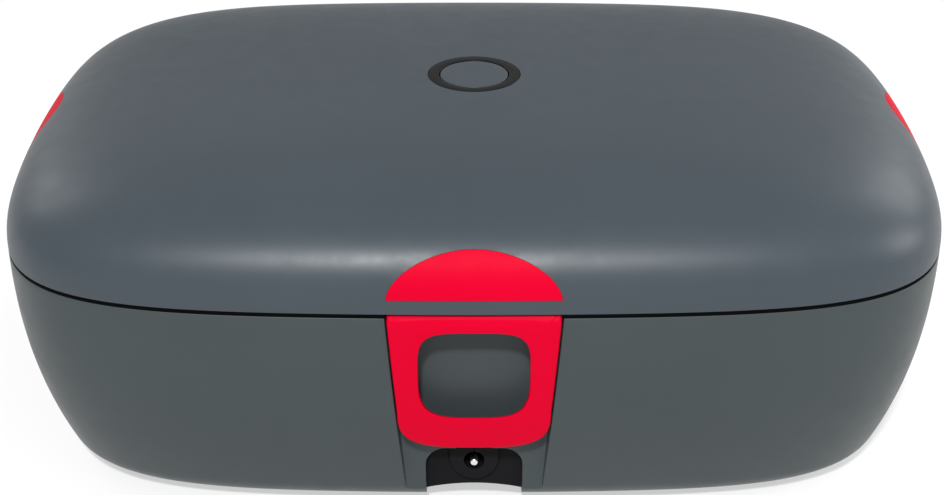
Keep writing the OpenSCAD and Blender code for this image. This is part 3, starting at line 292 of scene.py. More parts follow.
def base_inset(body, z):
    """How far the base's skin lies inside the parting outline at a height."""
    rise = max(0.0, 1 - (z - body.foot) / body.base_height)
    inset = body.draw * rise ** body.draw_power
    up = z - body.foot
    if up < body.edge:
        inset += body.edge - math.sqrt(max(0.0, body.edge ** 2 - (body.edge - max(up, 0.0)) ** 2))
    return inset


def outline_depth(body, half_along, half_across, along, inset):
    """How far the skin lies behind a side's plane at a distance from the outline's middle."""
    long_half = half_along - inset
    short_half = half_across - inset
    y = 1.0
    for _ in range(20):
        x = min(0.98, abs(along) / (long_half * (1 - body.bow * y * y)))
        y = (1 - x ** body.corner) ** (1 / body.corner)
    return half_across - y * short_half * (1 - body.bow * x * x)


class Station:
    """The place of one clip: across runs along the wall, and depth runs in from its plane."""

    def __init__(self, body, clip, side):
        self.body, self.clip, self.side = body, clip, side
        self.gap = clip.front_gap if side == "front" else clip.side_gap

    def point(self, across, depth, z):
        body = self.body
        if self.side == "front":
            return Vector((across, -body.half_width + depth, z))
        if self.side == "left":
            return Vector((-body.half_length + depth, self.clip.side_place - across, z))
        return Vector((body.half_length - depth, self.clip.side_place + across, z))

    def skin(self, across, inset=0.0):
        body = self.body
        if self.side == "front":
            return outline_depth(body, body.half_length, body.half_width, across, inset)
        along = self.clip.side_place + (across if self.side == "right" else -across)
        return outline_depth(body, body.half_width, body.half_length, along, inset)

    def base_skin(self, across, z):
        return self.skin(across, base_inset(self.body, z))


def stations(body, clip):
    return [Station(body, clip, side) for side in ("front", "left", "right")]


def rear_skin(body, x, inset=0.0):
    """Where the rear skin stands at a distance from the middle."""
    return body.half_width - outline_depth(body, body.half_length, body.half_width, x, inset)


def round_rect(length_all, width_all, radius, z, steps=None):
    """A rounded rectangle, with the same number of points whatever its size."""
    steps = steps or CORNER_STEPS
    points = []
    for quarter in range(4):
        side_x = 1 if quarter in (0, 3) else -1
        side_y = 1 if quarter < 2 else -1
        for i in range(steps + 1):
            turn = math.pi / 2 * (quarter + i / steps)
            points.append(Vector((
                side_x * (length_all / 2 - radius) + radius * math.cos(turn),
                side_y * (width_all / 2 - radius) + radius * math.sin(turn), z)))
    return points


def next_row(bm, row):
    """Extrudes a closed row of vertices and returns the new row in the same order."""
    edges = [bm.edges.get((row[i - 1], row[i])) for i in range(len(row))]
    made = bmesh.ops.extrude_edge_only(bm, edges=edges)["geom"]
    place = {vert: i for i, vert in enumerate(row)}
    fresh = [None] * len(row)
    for vert in made:
        if isinstance(vert, bmesh.types.BMVert):
            for edge in vert.link_edges:
                old = edge.other_vert(vert)
                if old in place:
                    fresh[place[old]] = vert
    return fresh


def skin_rings(bm, rings, closed=False):
    """Skins a stack of rings, each extruded from the last, and caps or closes it."""
    start = bmesh.ops.create_circle(bm, cap_ends=not closed, radius=1, segments=len(rings[0]))["verts"]
    for vert, point in zip(start, rings[0]):
        vert.co = point
    row = start
    for ring in rings[1:]:
        row = next_row(bm, row)
        for vert, point in zip(row, ring):
            vert.co = point
    if closed:
        row = next_row(bm, row)
        for vert, point in zip(row, rings[0]):
            vert.co = point
        bmesh.ops.weld_verts(bm, targetmap=dict(zip(row, start)))
    else:
        edges = [bm.edges.get((row[i - 1], row[i])) for i in range(len(row))]
        bmesh.ops.contextual_create(bm, geom=edges)


def new_piece(name, bm):
    """Puts a finished bmesh in the scene as an object at the origin, its faces pointing outwards."""
    bmesh.ops.recalc_face_normals(bm, faces=bm.faces)
    mesh = bpy.data.meshes.new(name)
    bm.to_mesh(mesh)
    bm.free()
    piece = bpy.data.objects.new(name, mesh)
    bpy.context.scene.collection.objects.link(piece)
    return piece


def ring_piece(name, rings, closed=False):
    bm = bmesh.new()
    skin_rings(bm, rings, closed)
    return new_piece(name, bm)


def block(name, low, high):
    """A box between two corners."""
    bm = bmesh.new()
    bmesh.ops.create_cube(bm, size=1)
    size = Vector(high) - Vector(low)
    bmesh.ops.scale(bm, vec=size, verts=bm.verts)
    bmesh.ops.translate(bm, vec=(Vector(high) + Vector(low)) / 2, verts=bm.verts)
    return new_piece(name, bm)


def station_block(name, station, half, deep_from, deep_to, low, high):
    """A box behind a clip, as deep as asked from the side's plane."""
    one, two = station.point(-half, deep_from, low), station.point(half, deep_to, high)
    return block(name, [min(a, b) for a, b in zip(one, two)], [max(a, b) for a, b in zip(one, two)])


def rod(name, middle, axis, radius, size, segments=48):
    """A cylinder about an axis letter, centred on a point."""
    bm = bmesh.new()
    bmesh.ops.create_cone(bm, cap_ends=True, segments=segments, radius1=radius, radius2=radius, depth=size)
    turn = {"X": Matrix.Rotation(math.pi / 2, 3, "Y"), "Y": Matrix.Rotation(math.pi / 2, 3, "X"),
            "Z": Matrix.Identity(3)}[axis]
    bmesh.ops.rotate(bm, verts=bm.verts, cent=(0, 0, 0), matrix=turn)
    bmesh.ops.translate(bm, vec=middle, verts=bm.verts)
    return new_piece(name, bm)


def profile_bar(name, profile, low, high, bevel):
    """A side profile (y, z) stretched along X between two planes, its end edges rounded."""
    bm = bmesh.new()
    verts = [bm.verts.new((low, y, z)) for y, z in profile]
    face = bm.faces.new(verts)
    made = bmesh.ops.extrude_face_region(bm, geom=[face])["geom"]
    bmesh.ops.translate(bm, vec=(high - low, 0, 0), verts=[v for v in made if isinstance(v, bmesh.types.BMVert)])
    bmesh.ops.recalc_face_normals(bm, faces=bm.faces)
    if bevel:
        ends = [e for e in bm.edges if abs(e.verts[0].co.x - e.verts[1].co.x) < 1e-7]
        bmesh.ops.bevel(bm, geom=ends, offset=bevel, offset_type="OFFSET", segments=3, profile=0.5,
                        affect="EDGES", clamp_overlap=True, material=-1)
    return new_piece(name, bm)


def spun(name, profile, steps=128):
    """A closed (radius, z) profile turned about the upright axis."""
    bm = bmesh.new()
    verts = [bm.verts.new((radius, 0, z)) for radius, z in profile]
    edges = [bm.edges.new((verts[i - 1], verts[i])) for i in range(len(verts))]
    bmesh.ops.spin(bm, geom=verts + edges, cent=(0, 0, 0), axis=(0, 0, 1), angle=2 * math.pi,
                   steps=steps, use_merge=True, use_duplicate=False)
    bmesh.ops.remove_doubles(bm, verts=bm.verts, dist=1e-7)
    return new_piece(name, bm)


def combine(piece, tool, operation):
    """Joins, cuts or keeps what is shared with a tool, which is then thrown away."""
    change = piece.modifiers.new(operation, "BOOLEAN")
    change.operation = operation
    change.solver = "MANIFOLD"
    change.object = tool
    graph = bpy.context.evaluated_depsgraph_get()
    shaped = bpy.data.meshes.new_from_object(piece.evaluated_get(graph))
    piece.modifiers.remove(change)
    if not shaped.polygons:
        raise RuntimeError(f"{piece.name}: nothing is left after {operation.lower()} with {tool.name}")
    plain = piece.data
    piece.data = shaped
    bpy.data.meshes.remove(plain)
    tool_mesh = tool.data
    bpy.data.objects.remove(tool)
    bpy.data.meshes.remove(tool_mesh)
    return piece


def settle(context, piece, name, rides, material, nodes=(), angle=SMOOTH_ANGLE):
    """Shades a piece, moves it to the box's place, and ties it to the frame."""
    bm = bmesh.new()
    bm.from_mesh(piece.data)
    bmesh.ops.remove_doubles(bm, verts=bm.verts, dist=2e-7)
    bmesh.ops.dissolve_degenerate(bm, edges=bm.edges, dist=1e-7)
    bmesh.ops.recalc_face_normals(bm, faces=bm.faces)
    bmesh.ops.translate(bm, vec=(0, context.scene.lunch_body.shift, 0), verts=bm.verts)
    for face in bm.faces:
        face.smooth = True
        face.material_index = 0
    for edge in bm.edges:
        edge.smooth = edge.is_manifold and edge.calc_face_angle(0) < math.radians(angle)
    bm.to_mesh(piece.data)
    bm.free()
    piece.name = name
    piece.data.name = name
    piece.data.materials.clear()
    piece.data.materials.append(material)
    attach(piece, rides)
    if nodes:
        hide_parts(*nodes)
    return piece


def rim_top(body):
    return body.parting - body.seam / 2 - body.rim_drop


def base_levels(body):
    """Heights of the base's rings, close together where the underside turns up."""
    turns = [body.foot + body.edge * (1 - math.cos(math.radians(a))) for a in range(0, 90, 9)]
    top = rim_top(body) - body.rim_round
    start = body.foot + body.edge
    return turns + [start + (top - start) * i / 30 for i in range(31)]


def flare(body, size=None):
    """Steps of a rounded edge where a cut meets the skin, as (grow, depth) pairs from outside in."""
    radius = size or body.cut_round
    steps = [(radius * (1 - math.sin(math.radians(a))), radius * (1 - math.cos(math.radians(a))))
             for a in (15, 38, 62, 90)]
    grow, depth = steps[0]
    return [(grow + 0.0021, depth - 0.0012)] + steps


def channel_half(body, clip, z, gap):
    slope = (clip.width - clip.end_width) / 2 / (body.parting - clip.end_z - clip.end_height)
    return clip.end_width / 2 + gap + slope * (z - clip.end_z - clip.end_height)


def channel_cutter(station, name):
    """The clip's channel through the base's side, with its long edges rounded."""
    body, clip = station.body, station.clip
    levels = base_levels(body)
    top = levels[-1]
    levels = [body.foot - 0.004, body.foot - 0.001] + levels + [top + 0.001, top + 0.004]
    corner = 0.0009
    rings = []
    for z in levels:
        half = channel_half(body, clip, z, station.gap)
        skin = min(station.base_skin(half, max(min(z, top), body.foot)), clip.channel - 0.0001)
        radius = min(body.cut_round, (clip.channel - skin) * 0.6)
        side = [(half + grow, skin + depth) for grow, depth in flare(body, radius)]
        inner = min(corner, (clip.channel - skin - radius) * 0.8)
        side += [(half - inner * (1 - math.cos(math.radians(a))),
                  clip.channel - inner * (1 - math.sin(math.radians(a)))) for a in (0, 30, 60, 90)]
        ring = [station.point(-across, depth, z) for across, depth in side]
        ring += [station.point(across, depth, z) for across, depth in reversed(side)]
        rings.append(ring)
    return ring_piece(name, rings)


def inlet_loop(inlet, grow):
    """Outline of the inlet's pocket as (across, z), its upper corners rounded."""
    half = inlet.width / 2 + grow
    low, top = inlet.low - 0.001, inlet.low + inlet.height + grow
    radius = inlet.corner + grow
    arc = [math.radians(7.5 * i) for i in range(13)]
    loop = [(-half, low), (half, low)]
    loop += [(half - radius + radius * math.cos(a), top - radius + radius * math.sin(a)) for a in arc]
    loop += [(-half + radius - radius * math.sin(a), top - radius + radius * math.cos(a)) for a in arc]
    return loop


def inlet_cutter(station, inlet):
    """The pocket behind the channel's floor, its mouth rounded."""
    body, clip = station.body, station.clip
    rings = []
    for grow, depth in flare(body) + [(0, inlet.depth)]:
        rings.append([station.point(across, clip.channel + depth, z) for across, z in inlet_loop(inlet, grow)])
    return ring_piece("inlet_cutter", rings)


def base_solid(body, inset, top, name):
    """The base's outer form as one solid, drawn in by an inset."""
    rings = [outline_ring(body, base_inset(body, z) + inset, z) for z in base_levels(body)]
    rings[0] = outline_ring(body, base_inset(body, body.foot) + inset, body.foot)
    round_off = body.rim_round
    for a in (30, 60, 90):
        rings.append(outline_ring(
            body, inset + round_off * (1 - math.cos(math.radians(a))),
            top - round_off * (1 - math.sin(math.radians(a)))))
    return ring_piece(name, rings)


def base_hollow(body, clip, inlet):
    """The room inside the base, less the walls round the channels and the inlet."""
    top = body.parting + 0.001
    start = body.floor
    levels = [start + (top - start) * i / 24 for i in range(25)]
    rings = [outline_ring(body, base_inset(body, z) + body.wall, z) for z in levels]
    hollow = ring_piece("hollow", rings)
    wall_half = clip.width / 2 + clip.side_gap + body.wall
    for station in stations(body, clip):
        combine(hollow, station_block("channel_wall", station, wall_half, -0.001,
                                      clip.channel + body.wall, 0.0, body.parting + 0.003), "DIFFERENCE")
    walls = block("inlet_wall", (-inlet.width / 2 - body.wall, -body.half_width, 0.0),
                  (inlet.width / 2 + body.wall, -body.half_width + clip.channel + inlet.depth + body.wall,
                   inlet.low + inlet.height + body.wall))
    combine(hollow, walls, "DIFFERENCE")
    return hollow


def arc_points(middle, radius, start, end, steps):
    """Points on an arc in the (y, z) plane, in degrees."""
    return [(middle[0] + radius * math.cos(math.radians(start + (end - start) * i / steps)),
             middle[1] + radius * math.sin(math.radians(start + (end - start) * i / steps)))
            for i in range(steps + 1)]


def base_barrel(body, hinge, low_x, high_x, name):
    """One barrel of the base's hinge with its gusset on the rear wall."""
    outer = max(abs(low_x), abs(high_x))
    inner = rear_skin(body, outer) - body.wall + 0.0004
    low = hinge.axis_z - hinge.radius - hinge.gusset
    profile = [(inner, hinge.axis_z + hinge.radius)]
    profile += arc_points((hinge.axis_y, hinge.axis_z), hinge.radius, 90, -76, 22)
    profile += [(rear_skin(body, outer) - 0.001, low), (inner, low)]
    return profile_bar(name, profile, low_x, high_x, 0.0003)


class LUNCHBOX_OT_base(bpy.types.Operator):
    """Moulded base with its clip channels, inlet pocket, bottom recess and hinge barrels"""

    bl_idname = "lunchbox.base"
    bl_label = "Base"

    def execute(self, context):
        scene = context.scene
        body, clip, inlet, hinge = scene.lunch_body, scene.lunch_clip, scene.lunch_inlet, scene.lunch_hinge
        base = base_solid(body, 0.0, rim_top(body), "base")
        combine(base, base_hollow(body, clip, inlet), "DIFFERENCE")
        for station in stations(body, clip):
            combine(base, channel_cutter(station, "channel"), "DIFFERENCE")
        front = Station(body, clip, "front")
        combine(base, inlet_cutter(front, inlet), "DIFFERENCE")
        combine(base, arch_cutter(body, clip, inlet), "DIFFERENCE")
        jack = block("jack", (-inlet.jack_width / 2 - 0.0003, -body.half_width + clip.channel, inlet.jack_low - 0.0006),
                     (inlet.jack_width / 2 + 0.0003, -body.half_width + clip.channel + inlet.depth + body.wall + 0.001,
                      inlet.jack_low + inlet.jack_height + 0.0006))
        combine(base, jack, "DIFFERENCE")
        recess = ring_piece("recess", [
            round_rect(body.plate_length, body.plate_width, body.plate_corner, body.foot - 0.001),
            round_rect(body.plate_length, body.plate_width, body.plate_corner, body.foot + body.plate)])
        combine(base, recess, "DIFFERENCE")
        ledge = ring_piece("ledge", [
            round_rect(body.plate_length - 2 * body.ledge, body.plate_width - 2 * body.ledge,
                       body.plate_corner - body.ledge, z) for z in (body.foot, body.floor + 0.001)])
        combine(base, ledge, "DIFFERENCE")
        near = hinge.place - hinge.arm / 2 - hinge.gap
        far = hinge.place + hinge.arm / 2 + hinge.gap
        for side in (-1, 1):
            for low, high in ((near - hinge.barrel, near), (far, far + hinge.barrel)):
                combine(base, base_barrel(body, hinge, *sorted((side * low, side * high)), "barrel"), "UNION")
            combine(base, rod("hinge_bore", (side * hinge.place, hinge.axis_y, hinge.axis_z), "X",
                              hinge.pin, hinge.arm + 2 * hinge.barrel + 0.002), "DIFFERENCE")
        settle(context, base, "base_body", "base", satin_plastic("base_plastic", scene.lunch_colours.base),
               ["base_shell"])
        return {"FINISHED"}


def arch_line(inlet, top, steps=24):
    """The arch's upper line as (across, z), from right to left."""
    half = inlet.width / 2
    return [(half * share, top - inlet.arch_rise * share * share)
            for share in (1 - 2 * i / steps for i in range(steps + 1))]


def arch_cutter(body, clip, inlet):
    """The arch in the underside below the inlet, which leaves a thin lip under the socket."""
    back = -body.half_width + clip.channel + inlet.depth
    half = inlet.width / 2
    rings = []
    for y, top in ((-body.half_width - 0.002, None), (back - inlet.lip, None), (back - inlet.lip, inlet.arch_top),
                   (back, inlet.arch_top), (back + inlet.arch_end, inlet.arch_top - inlet.arch_fall * inlet.arch_end)):
        line = arch_line(inlet, top) if top else [(x, inlet.low + 0.001) for x, _ in arch_line(inlet, 0.0)]
        rings.append([Vector((x, y, z)) for x, z in [(-half, -0.002), (half, -0.002)] + line])
    return ring_piece("arch_cutter", rings)


def dome_angles():
    fine = [0.6, 1.2, 2, 3, 4.2, 5.6, 7.2, 9, 11]
    return fine + [13 + 2.5 * i for i in range(31)] + [89]


def dome_ring(body, inset, angle):
    a = math.radians(angle)
    z = body.parting + (body.lid_height - inset) * math.sin(a) ** (2 / body.dome_up)
    return outline_ring(body, inset, z, math.cos(a) ** (2 / body.dome_across))


def dome_solid(body, inset, name, low=None, round_off=0.0):
    """The lid's outer form as one solid, drawn in by an inset."""
    low = body.parting + body.seam / 2 if low is None else low
    rings = []
    if round_off:
        for a in (90, 60, 30):
            rings.append(outline_ring(
                body, inset + round_off * (1 - math.cos(math.radians(a))),
                low + round_off * (1 - math.sin(math.radians(a)))))
    rings.append(outline_ring(body, inset, low + round_off))
    rings += [ring for ring in (dome_ring(body, inset, a) for a in dome_angles())
              if ring[0].z > low + round_off + 0.0002]
    crown = rings[-1]
    for share in (0.7, 0.4):
        rings.append([Vector((p.x * share, p.y * share, body.top - inset)) for p in crown])
    return ring_piece(name, rings)


def inlay_loop(body, lid, grow):
    """Outline of a half-moon inlay as (across, z)."""
    low = body.parting + lid.inlay_lift - grow
    start = math.radians(lid.inlay_set)
    half = (lid.inlay_width / 2 + grow) / math.cos(start)
    height = (lid.inlay_height + 2 * grow) / (1 - math.sin(start))
    steps = 48
    loop = []
    for i in range(steps + 1):
        turn = start + (math.pi - 2 * start) * i / steps
        loop.append((half * math.cos(turn), low + height * (math.sin(turn) - math.sin(start))))
    return loop


def inlay_prism(station, lid, grow, name):
    body = station.body
    rings = [[station.point(across, depth, z) for across, z in inlay_loop(body, lid, grow)]
             for depth in (-0.002, 0.016)]
    return ring_piece(name, rings)


class LUNCHBOX_OT_inlays(bpy.types.Operator):
    """Red half-moon inlays, flush with the lid above each clip"""

    bl_idname = "lunchbox.inlays"
    bl_label = "Inlays"

    def execute(self, context):
        scene = context.scene
        body, clip, lid = scene.lunch_body, scene.lunch_clip, scene.lunch_lid
        red = gloss_red("inlay_red", scene.lunch_colours.red)
        for station in stations(body, clip):
            inlay = dome_solid(body, 0.0, "inlay")
            combine(inlay, inlay_prism(station, lid, -0.00006, "inlay_edge"), "INTERSECT")
            combine(inlay, dome_solid(body, lid.inlay_thick, "inlay_back"), "DIFFERENCE")
            settle(context, inlay, f"{station.side}_inlay_moon", "lid", red,
                   [f"{station.side}_inlay"])
        return {"FINISHED"}


def pivot(body, clip):
    """The clip's pivot as (depth, z) at its station."""
    return clip.barrel, body.parting + body.seam / 2 - clip.room - clip.barrel


def beside(middle, angle, out, aside):
    """A point out along a direction from the pivot and aside from it, in degrees."""
    a = math.radians(angle)
    return (middle[0] + out * math.cos(a) - aside * math.sin(a), middle[1] + out * math.sin(a) + aside * math.cos(a))


def lug_profile(body, clip):
    """Side profile of a lug: an eye round the pin, and a neck that runs down and back to its root."""
    middle = pivot(body, clip)
    eye = clip.pin + clip.lug_wall
    lean = math.degrees(math.asin(clip.neck / eye))
    top = body.parting + body.seam / 2 + 0.0016
    front, back = 2 * clip.barrel + clip.room, clip.channel - 0.002
    fall = (front - middle[0]) * math.tan(math.radians(clip.neck_down))
    thick = clip.neck / math.cos(math.radians(clip.neck_down))
    profile = arc_points(middle, eye, lean - clip.neck_down, 360 - lean - clip.neck_down, 30)
    low = middle[1] - fall - thick
    return profile + [(front, low), (back, low), (back, top), (front, top), (front, middle[1] - fall + thick)]


def lug_room(body, clip):
    """The room that a lug needs in the clip's barrel as the clip swings open."""
    middle = pivot(body, clip)
    eye = clip.pin + clip.lug_wall + clip.room
    side = clip.neck + clip.room
    reach = 2 * clip.barrel
    open_at = clip.swing - clip.neck_down
    lean = math.degrees(math.asin(side / eye))
    profile = arc_points(middle, eye, open_at + lean, 360 - clip.neck_down - lean, 24)
    return profile + [beside(middle, -clip.neck_down, reach, -side), (middle[0] + reach, middle[1]),
                      beside(middle, open_at, reach, side)]


def lid_arm(body, hinge, low_x, high_x, name):
    """One arm of the lid that reaches down to the hinge pin."""
    near = hinge.place - hinge.arm / 2
    far = hinge.place + hinge.arm / 2
    lid_low = body.parting + body.seam / 2
    inner = rear_skin(body, near) + 0.0005
    far_in = rear_skin(body, far) - body.wall + 0.0004
    profile = [(far_in, lid_low + 0.0004), (inner, lid_low + 0.0001), (inner, hinge.axis_z + 0.0015)]
    profile += arc_points((hinge.axis_y, hinge.axis_z), hinge.radius, 157, 376, 26)
    profile += [(rear_skin(body, near) + hinge.arm_out, lid_low + 0.001),
                (rear_skin(body, near) + hinge.arm_out * 0.65, lid_low + hinge.arm_up * 0.6),
                (rear_skin(body, far) - 0.001, lid_low + hinge.arm_up),
                (far_in, lid_low + hinge.arm_up - 0.002)]
    return profile_bar(name, profile, low_x, high_x, 0.0)


class LUNCHBOX_OT_lid(bpy.types.Operator):
    """Domed lid with the seats of its inlays and button, clip lugs and hinge arms"""

    bl_idname = "lunchbox.lid"
    bl_label = "Lid"

    def execute(self, context):
        scene = context.scene
        body, clip, hinge, lid = scene.lunch_body, scene.lunch_clip, scene.lunch_hinge, scene.lunch_lid
        low = body.parting + body.seam / 2
        shell = dome_solid(body, 0.0, "lid", round_off=body.rim_round)
        hollow = dome_solid(body, body.wall, "lid_hollow", low=low - 0.001)
        for station in stations(body, clip):
            combine(hollow, station_block("lug_root", station, clip.width / 2, -0.001, clip.channel - 0.001,
                                          low - 0.002, low + 0.007), "DIFFERENCE")
        combine(shell, hollow, "DIFFERENCE")
        for station in stations(body, clip):
            seat = inlay_prism(station, lid, 0.00006, "inlay_seat")
            combine(seat, dome_solid(body, lid.inlay_thick + 0.00005, "inlay_floor"), "DIFFERENCE")
            combine(shell, seat, "DIFFERENCE")
        combine(shell, rod("ring_seat", (0, 0, body.top - lid.ring_thick + 0.005), "Z", lid.ring + 0.0001, 0.01, 128),
                "DIFFERENCE")
        combine(shell, rod("button_hole", (0, 0, body.top), "Z", lid.ring - 0.002, 0.012, 128), "DIFFERENCE")
        for side in (-1, 1):
            ends = sorted((side * (hinge.place - hinge.arm / 2), side * (hinge.place + hinge.arm / 2)))
            combine(shell, lid_arm(body, hinge, *ends, "arm"), "UNION")
            combine(shell, rod("hinge_bore", (side * hinge.place, hinge.axis_y, hinge.axis_z), "X",
                               hinge.pin, hinge.arm + 0.004), "DIFFERENCE")
        for station in stations(body, clip):
            for side in (-1, 1):
                lug = profile_bar("lug", lug_profile(body, clip), -clip.lug_width / 2, clip.lug_width / 2, 0.0)
                lug.data.transform(Matrix.Translation((side * clip.lug_place, 0, 0)))
                for vert in lug.data.vertices:
                    vert.co = station.point(*vert.co)
                combine(shell, lug, "UNION")
        settle(context, shell, "lid_body", "lid", satin_plastic("lid_plastic", scene.lunch_colours.lid),
               ["lid_shell"])
        return {"FINISHED"}


def clip_loop(body, clip):
    """Outline of a clip as (across, way): the way is a height up to the pivot, then runs on round the barrel."""
    pivot_z = pivot(body, clip)[1]
    top = pivot_z + clip.barrel * math.radians(BARREL_WRAP)
    round_top = clip.end_z + clip.end_height
    half, end_half = clip.width / 2, clip.end_width / 2
    slope = (half - end_half) / (body.parting - round_top)
    top_half = end_half + slope * (pivot_z - round_top)
    across_steps, side_steps, end_steps = 36, 30, 72

    def side_half(way):
        return end_half + slope * (min(way, pivot_z) - round_top)

    loop = [(-top_half + 2 * top_half * i / across_steps, top) for i in range(across_steps)]
    ways = [top - (top - round_top) * i / side_steps for i in range(side_steps)]
    loop += [(side_half(way), way) for way in ways]
    for i in range(end_steps):
        turn = -math.pi * i / end_steps
        loop.append((end_half * signed_power(math.cos(turn), 0.62),
                     round_top + clip.end_height * signed_power(math.sin(turn), 0.62)))
    ways = [round_top + (top - round_top) * i / side_steps for i in range(side_steps)]
    return loop + [(-side_half(way), way) for way in ways]


def window_loop(clip, loop):
    """The window's outline, point by point in the direction of the clip's own outline."""
    middle = (clip.window_top + clip.window_low) / 2
    half_width, half_height = clip.window_width / 2, (clip.window_top - clip.window_low) / 2
    points = []
    for across, z in loop:
        dx, dz = across / half_width, (z - middle) / half_height
        power = 4.6 if dz > 0 else 3.6
        reach = (abs(dx) ** power + abs(dz) ** power) ** (-1 / power)
        points.append((across * reach, middle + (z - middle) * reach))
    return points


def clip_plate(station):
    """The clip as a band between its outline and its window, both edges rounded."""
    body, clip = station.body, station.clip
    outer = [Vector(point) for point in clip_loop(body, clip)]
    inner = [Vector(point) for point in window_loop(clip, outer)]
    count = len(outer)
    pivot_y, pivot_z = pivot(body, clip)

    def inward(loop, i):
        """Direction from the edge into the plate."""
        along = (loop[(i + 1) % count] - loop[i - 1]).normalized()
        return Vector((along.y, -along.x))

    def thickness(way):
        """The plate thins where it runs into the barrel."""
        share = min(1.0, max(0.0, (way - pivot_z) / clip.barrel + 1))
        return clip.plate + (0.85 * clip.barrel - clip.plate) * share * share * (3 - 2 * share)

    def place(point, off):
        if point.y <= pivot_z:
            return station.point(point.x, base_inset(body, point.y) + off, point.y)
        turn = (point.y - pivot_z) / clip.barrel
        radius = clip.barrel - off
        return station.point(point.x, pivot_y - radius * math.cos(turn), pivot_z + radius * math.sin(turn))

    def from_outer(i, shift, off):
        return place(outer[i] + inward(outer, i) * shift, off)

    def from_inner(i, shift, off):
        """The window's wall, which falls towards the back at the bottom."""
        away = -inward(inner, i)
        fall = clip.window_draft * max(0.0, -away.y) ** 2
        return place(inner[i] + away * (shift + fall * off), off)

    def quarter(angle):
        """Shares of a rounded edge's radius that are left to go across and deep at an angle."""
        turn = math.radians(angle)
        return 1 - math.sin(turn), 1 - math.cos(turn)

    blends = (0.8, 0.6, 0.4, 0.2)
    back_edge = 0.0003
    rings = [[place(outer[i].lerp(inner[i], blend), 0.0) for i in range(count)] for blend in blends]
    for angle in range(0, 91, 18):
        across, deep = quarter(angle)
        rings.append([from_outer(i, clip.edge * across, clip.edge * deep) for i in range(count)])
    for angle in (90, 60, 30, 0):
        across, deep = quarter(angle)
        rings.append([from_outer(i, back_edge * across, thickness(outer[i].y) - back_edge * deep)
                      for i in range(count)])
    for blend in reversed(blends):
        points = [outer[i].lerp(inner[i], blend) for i in range(count)]
        rings.append([place(point, thickness(point.y)) for point in points])
    for angle in (0, 30, 60, 90):
        across, deep = quarter(angle)
        rings.append([from_inner(i, back_edge * across, clip.plate - back_edge * deep) for i in range(count)])
    for angle in (90, 60, 30, 0):
        across, deep = quarter(angle)
        rings.append([from_inner(i, clip.window_edge * across, clip.window_edge * deep) for i in range(count)])
    return ring_piece("clip_plate", rings, closed=True)


class LUNCHBOX_OT_clips(bpy.types.Operator):
    """Three red clips with finger windows, pivot barrels and catch nibs"""

    bl_idname = "lunchbox.clips"
    bl_label = "Clips"

    def execute(self, context):
        scene = context.scene
        body, clip = scene.lunch_body, scene.lunch_clip
        red = gloss_red("clip_red", scene.lunch_colours.red)
        pivot_y, pivot_z = pivot(body, clip)
        barrel_length = clip.width - 2 * clip.edge - 0.0006
        for station in stations(body, clip):
            plate = clip_plate(station)
            barrel = rod("barrel", (0, pivot_y, pivot_z), "X", clip.barrel - 0.00005, barrel_length, 64)
            for vert in barrel.data.vertices:
                vert.co = station.point(*vert.co)
            combine(plate, barrel, "UNION")
            catch_z = clip.end_z + 0.0024
            catch_y = base_inset(body, catch_z) + clip.plate + 0.002
            back = base_inset(body, catch_z) + clip.plate - 0.0005
            nib = profile_bar("nib", [(back, catch_z - 0.0006), (catch_y - 0.0008, catch_z), (catch_y, catch_z + 0.0008),
                                      (catch_y, catch_z + 0.0028), (back, catch_z + 0.0028)], -0.0115, 0.0115, 0.0002)
            for vert in nib.data.vertices:
                vert.co = station.point(*vert.co)
            combine(plate, nib, "UNION")
            half = clip.lug_width / 2 + clip.room
            for side in (-1, 1):
                slot = profile_bar("slot", lug_room(body, clip), side * clip.lug_place - half,
                                   side * clip.lug_place + half, 0.0)
                for vert in slot.data.vertices:
                    vert.co = station.point(*vert.co)
                combine(plate, slot, "DIFFERENCE")
            settle(context, plate, f"{station.side}_clip_moulding", f"{station.side}_clip", red,
                   [f"{station.side}_clip"])
        return {"FINISHED"}


class LUNCHBOX_OT_button(bpy.types.Operator):
    """Power button: gloss black ring and the grey cap inside it"""

    bl_idname = "lunchbox.button"
    bl_label = "Power button"

    def execute(self, context):
        scene = context.scene
        body, lid = scene.lunch_body, scene.lunch_lid
        ring_low = body.top - lid.ring_thick + 0.0001
        edge = 0.00025
        ring = [(lid.ring_inner, ring_low), (lid.ring, ring_low)]
        ring += arc_points((lid.ring - edge, body.top - edge), edge, 0, 90, 5)
        ring += arc_points((lid.ring_inner + edge, body.top - edge), edge, 90, 180, 5)
        settle(context, spun("ring", ring), "button_ring_gloss", "lid",
               gloss_black("ring_black", scene.lunch_colours.ring), ["button_ring"])
        cap_r = lid.ring_inner - lid.cap_gap
        flange = body.top - lid.ring_thick
        cap = [(0.00001, lid.cap_low), (0.0025, lid.cap_low), (0.0025, flange - 0.0012),
               (lid.ring - 0.0026, flange - 0.0012), (lid.ring - 0.0026, flange - 0.0002), (cap_r, flange - 0.0002)]
        cap += arc_points((cap_r - edge, body.top - edge), edge, 0, 90, 5)
        cap += [(cap_r * share, body.top) for share in (0.8, 0.5, 0.2)] + [(0.00001, body.top)]
        settle(context, spun("cap", cap), "button_cap_disc", "power_button",
               satin_plastic("button_plastic", scene.lunch_colours.lid), ["button_cap"])
        return {"FINISHED"}


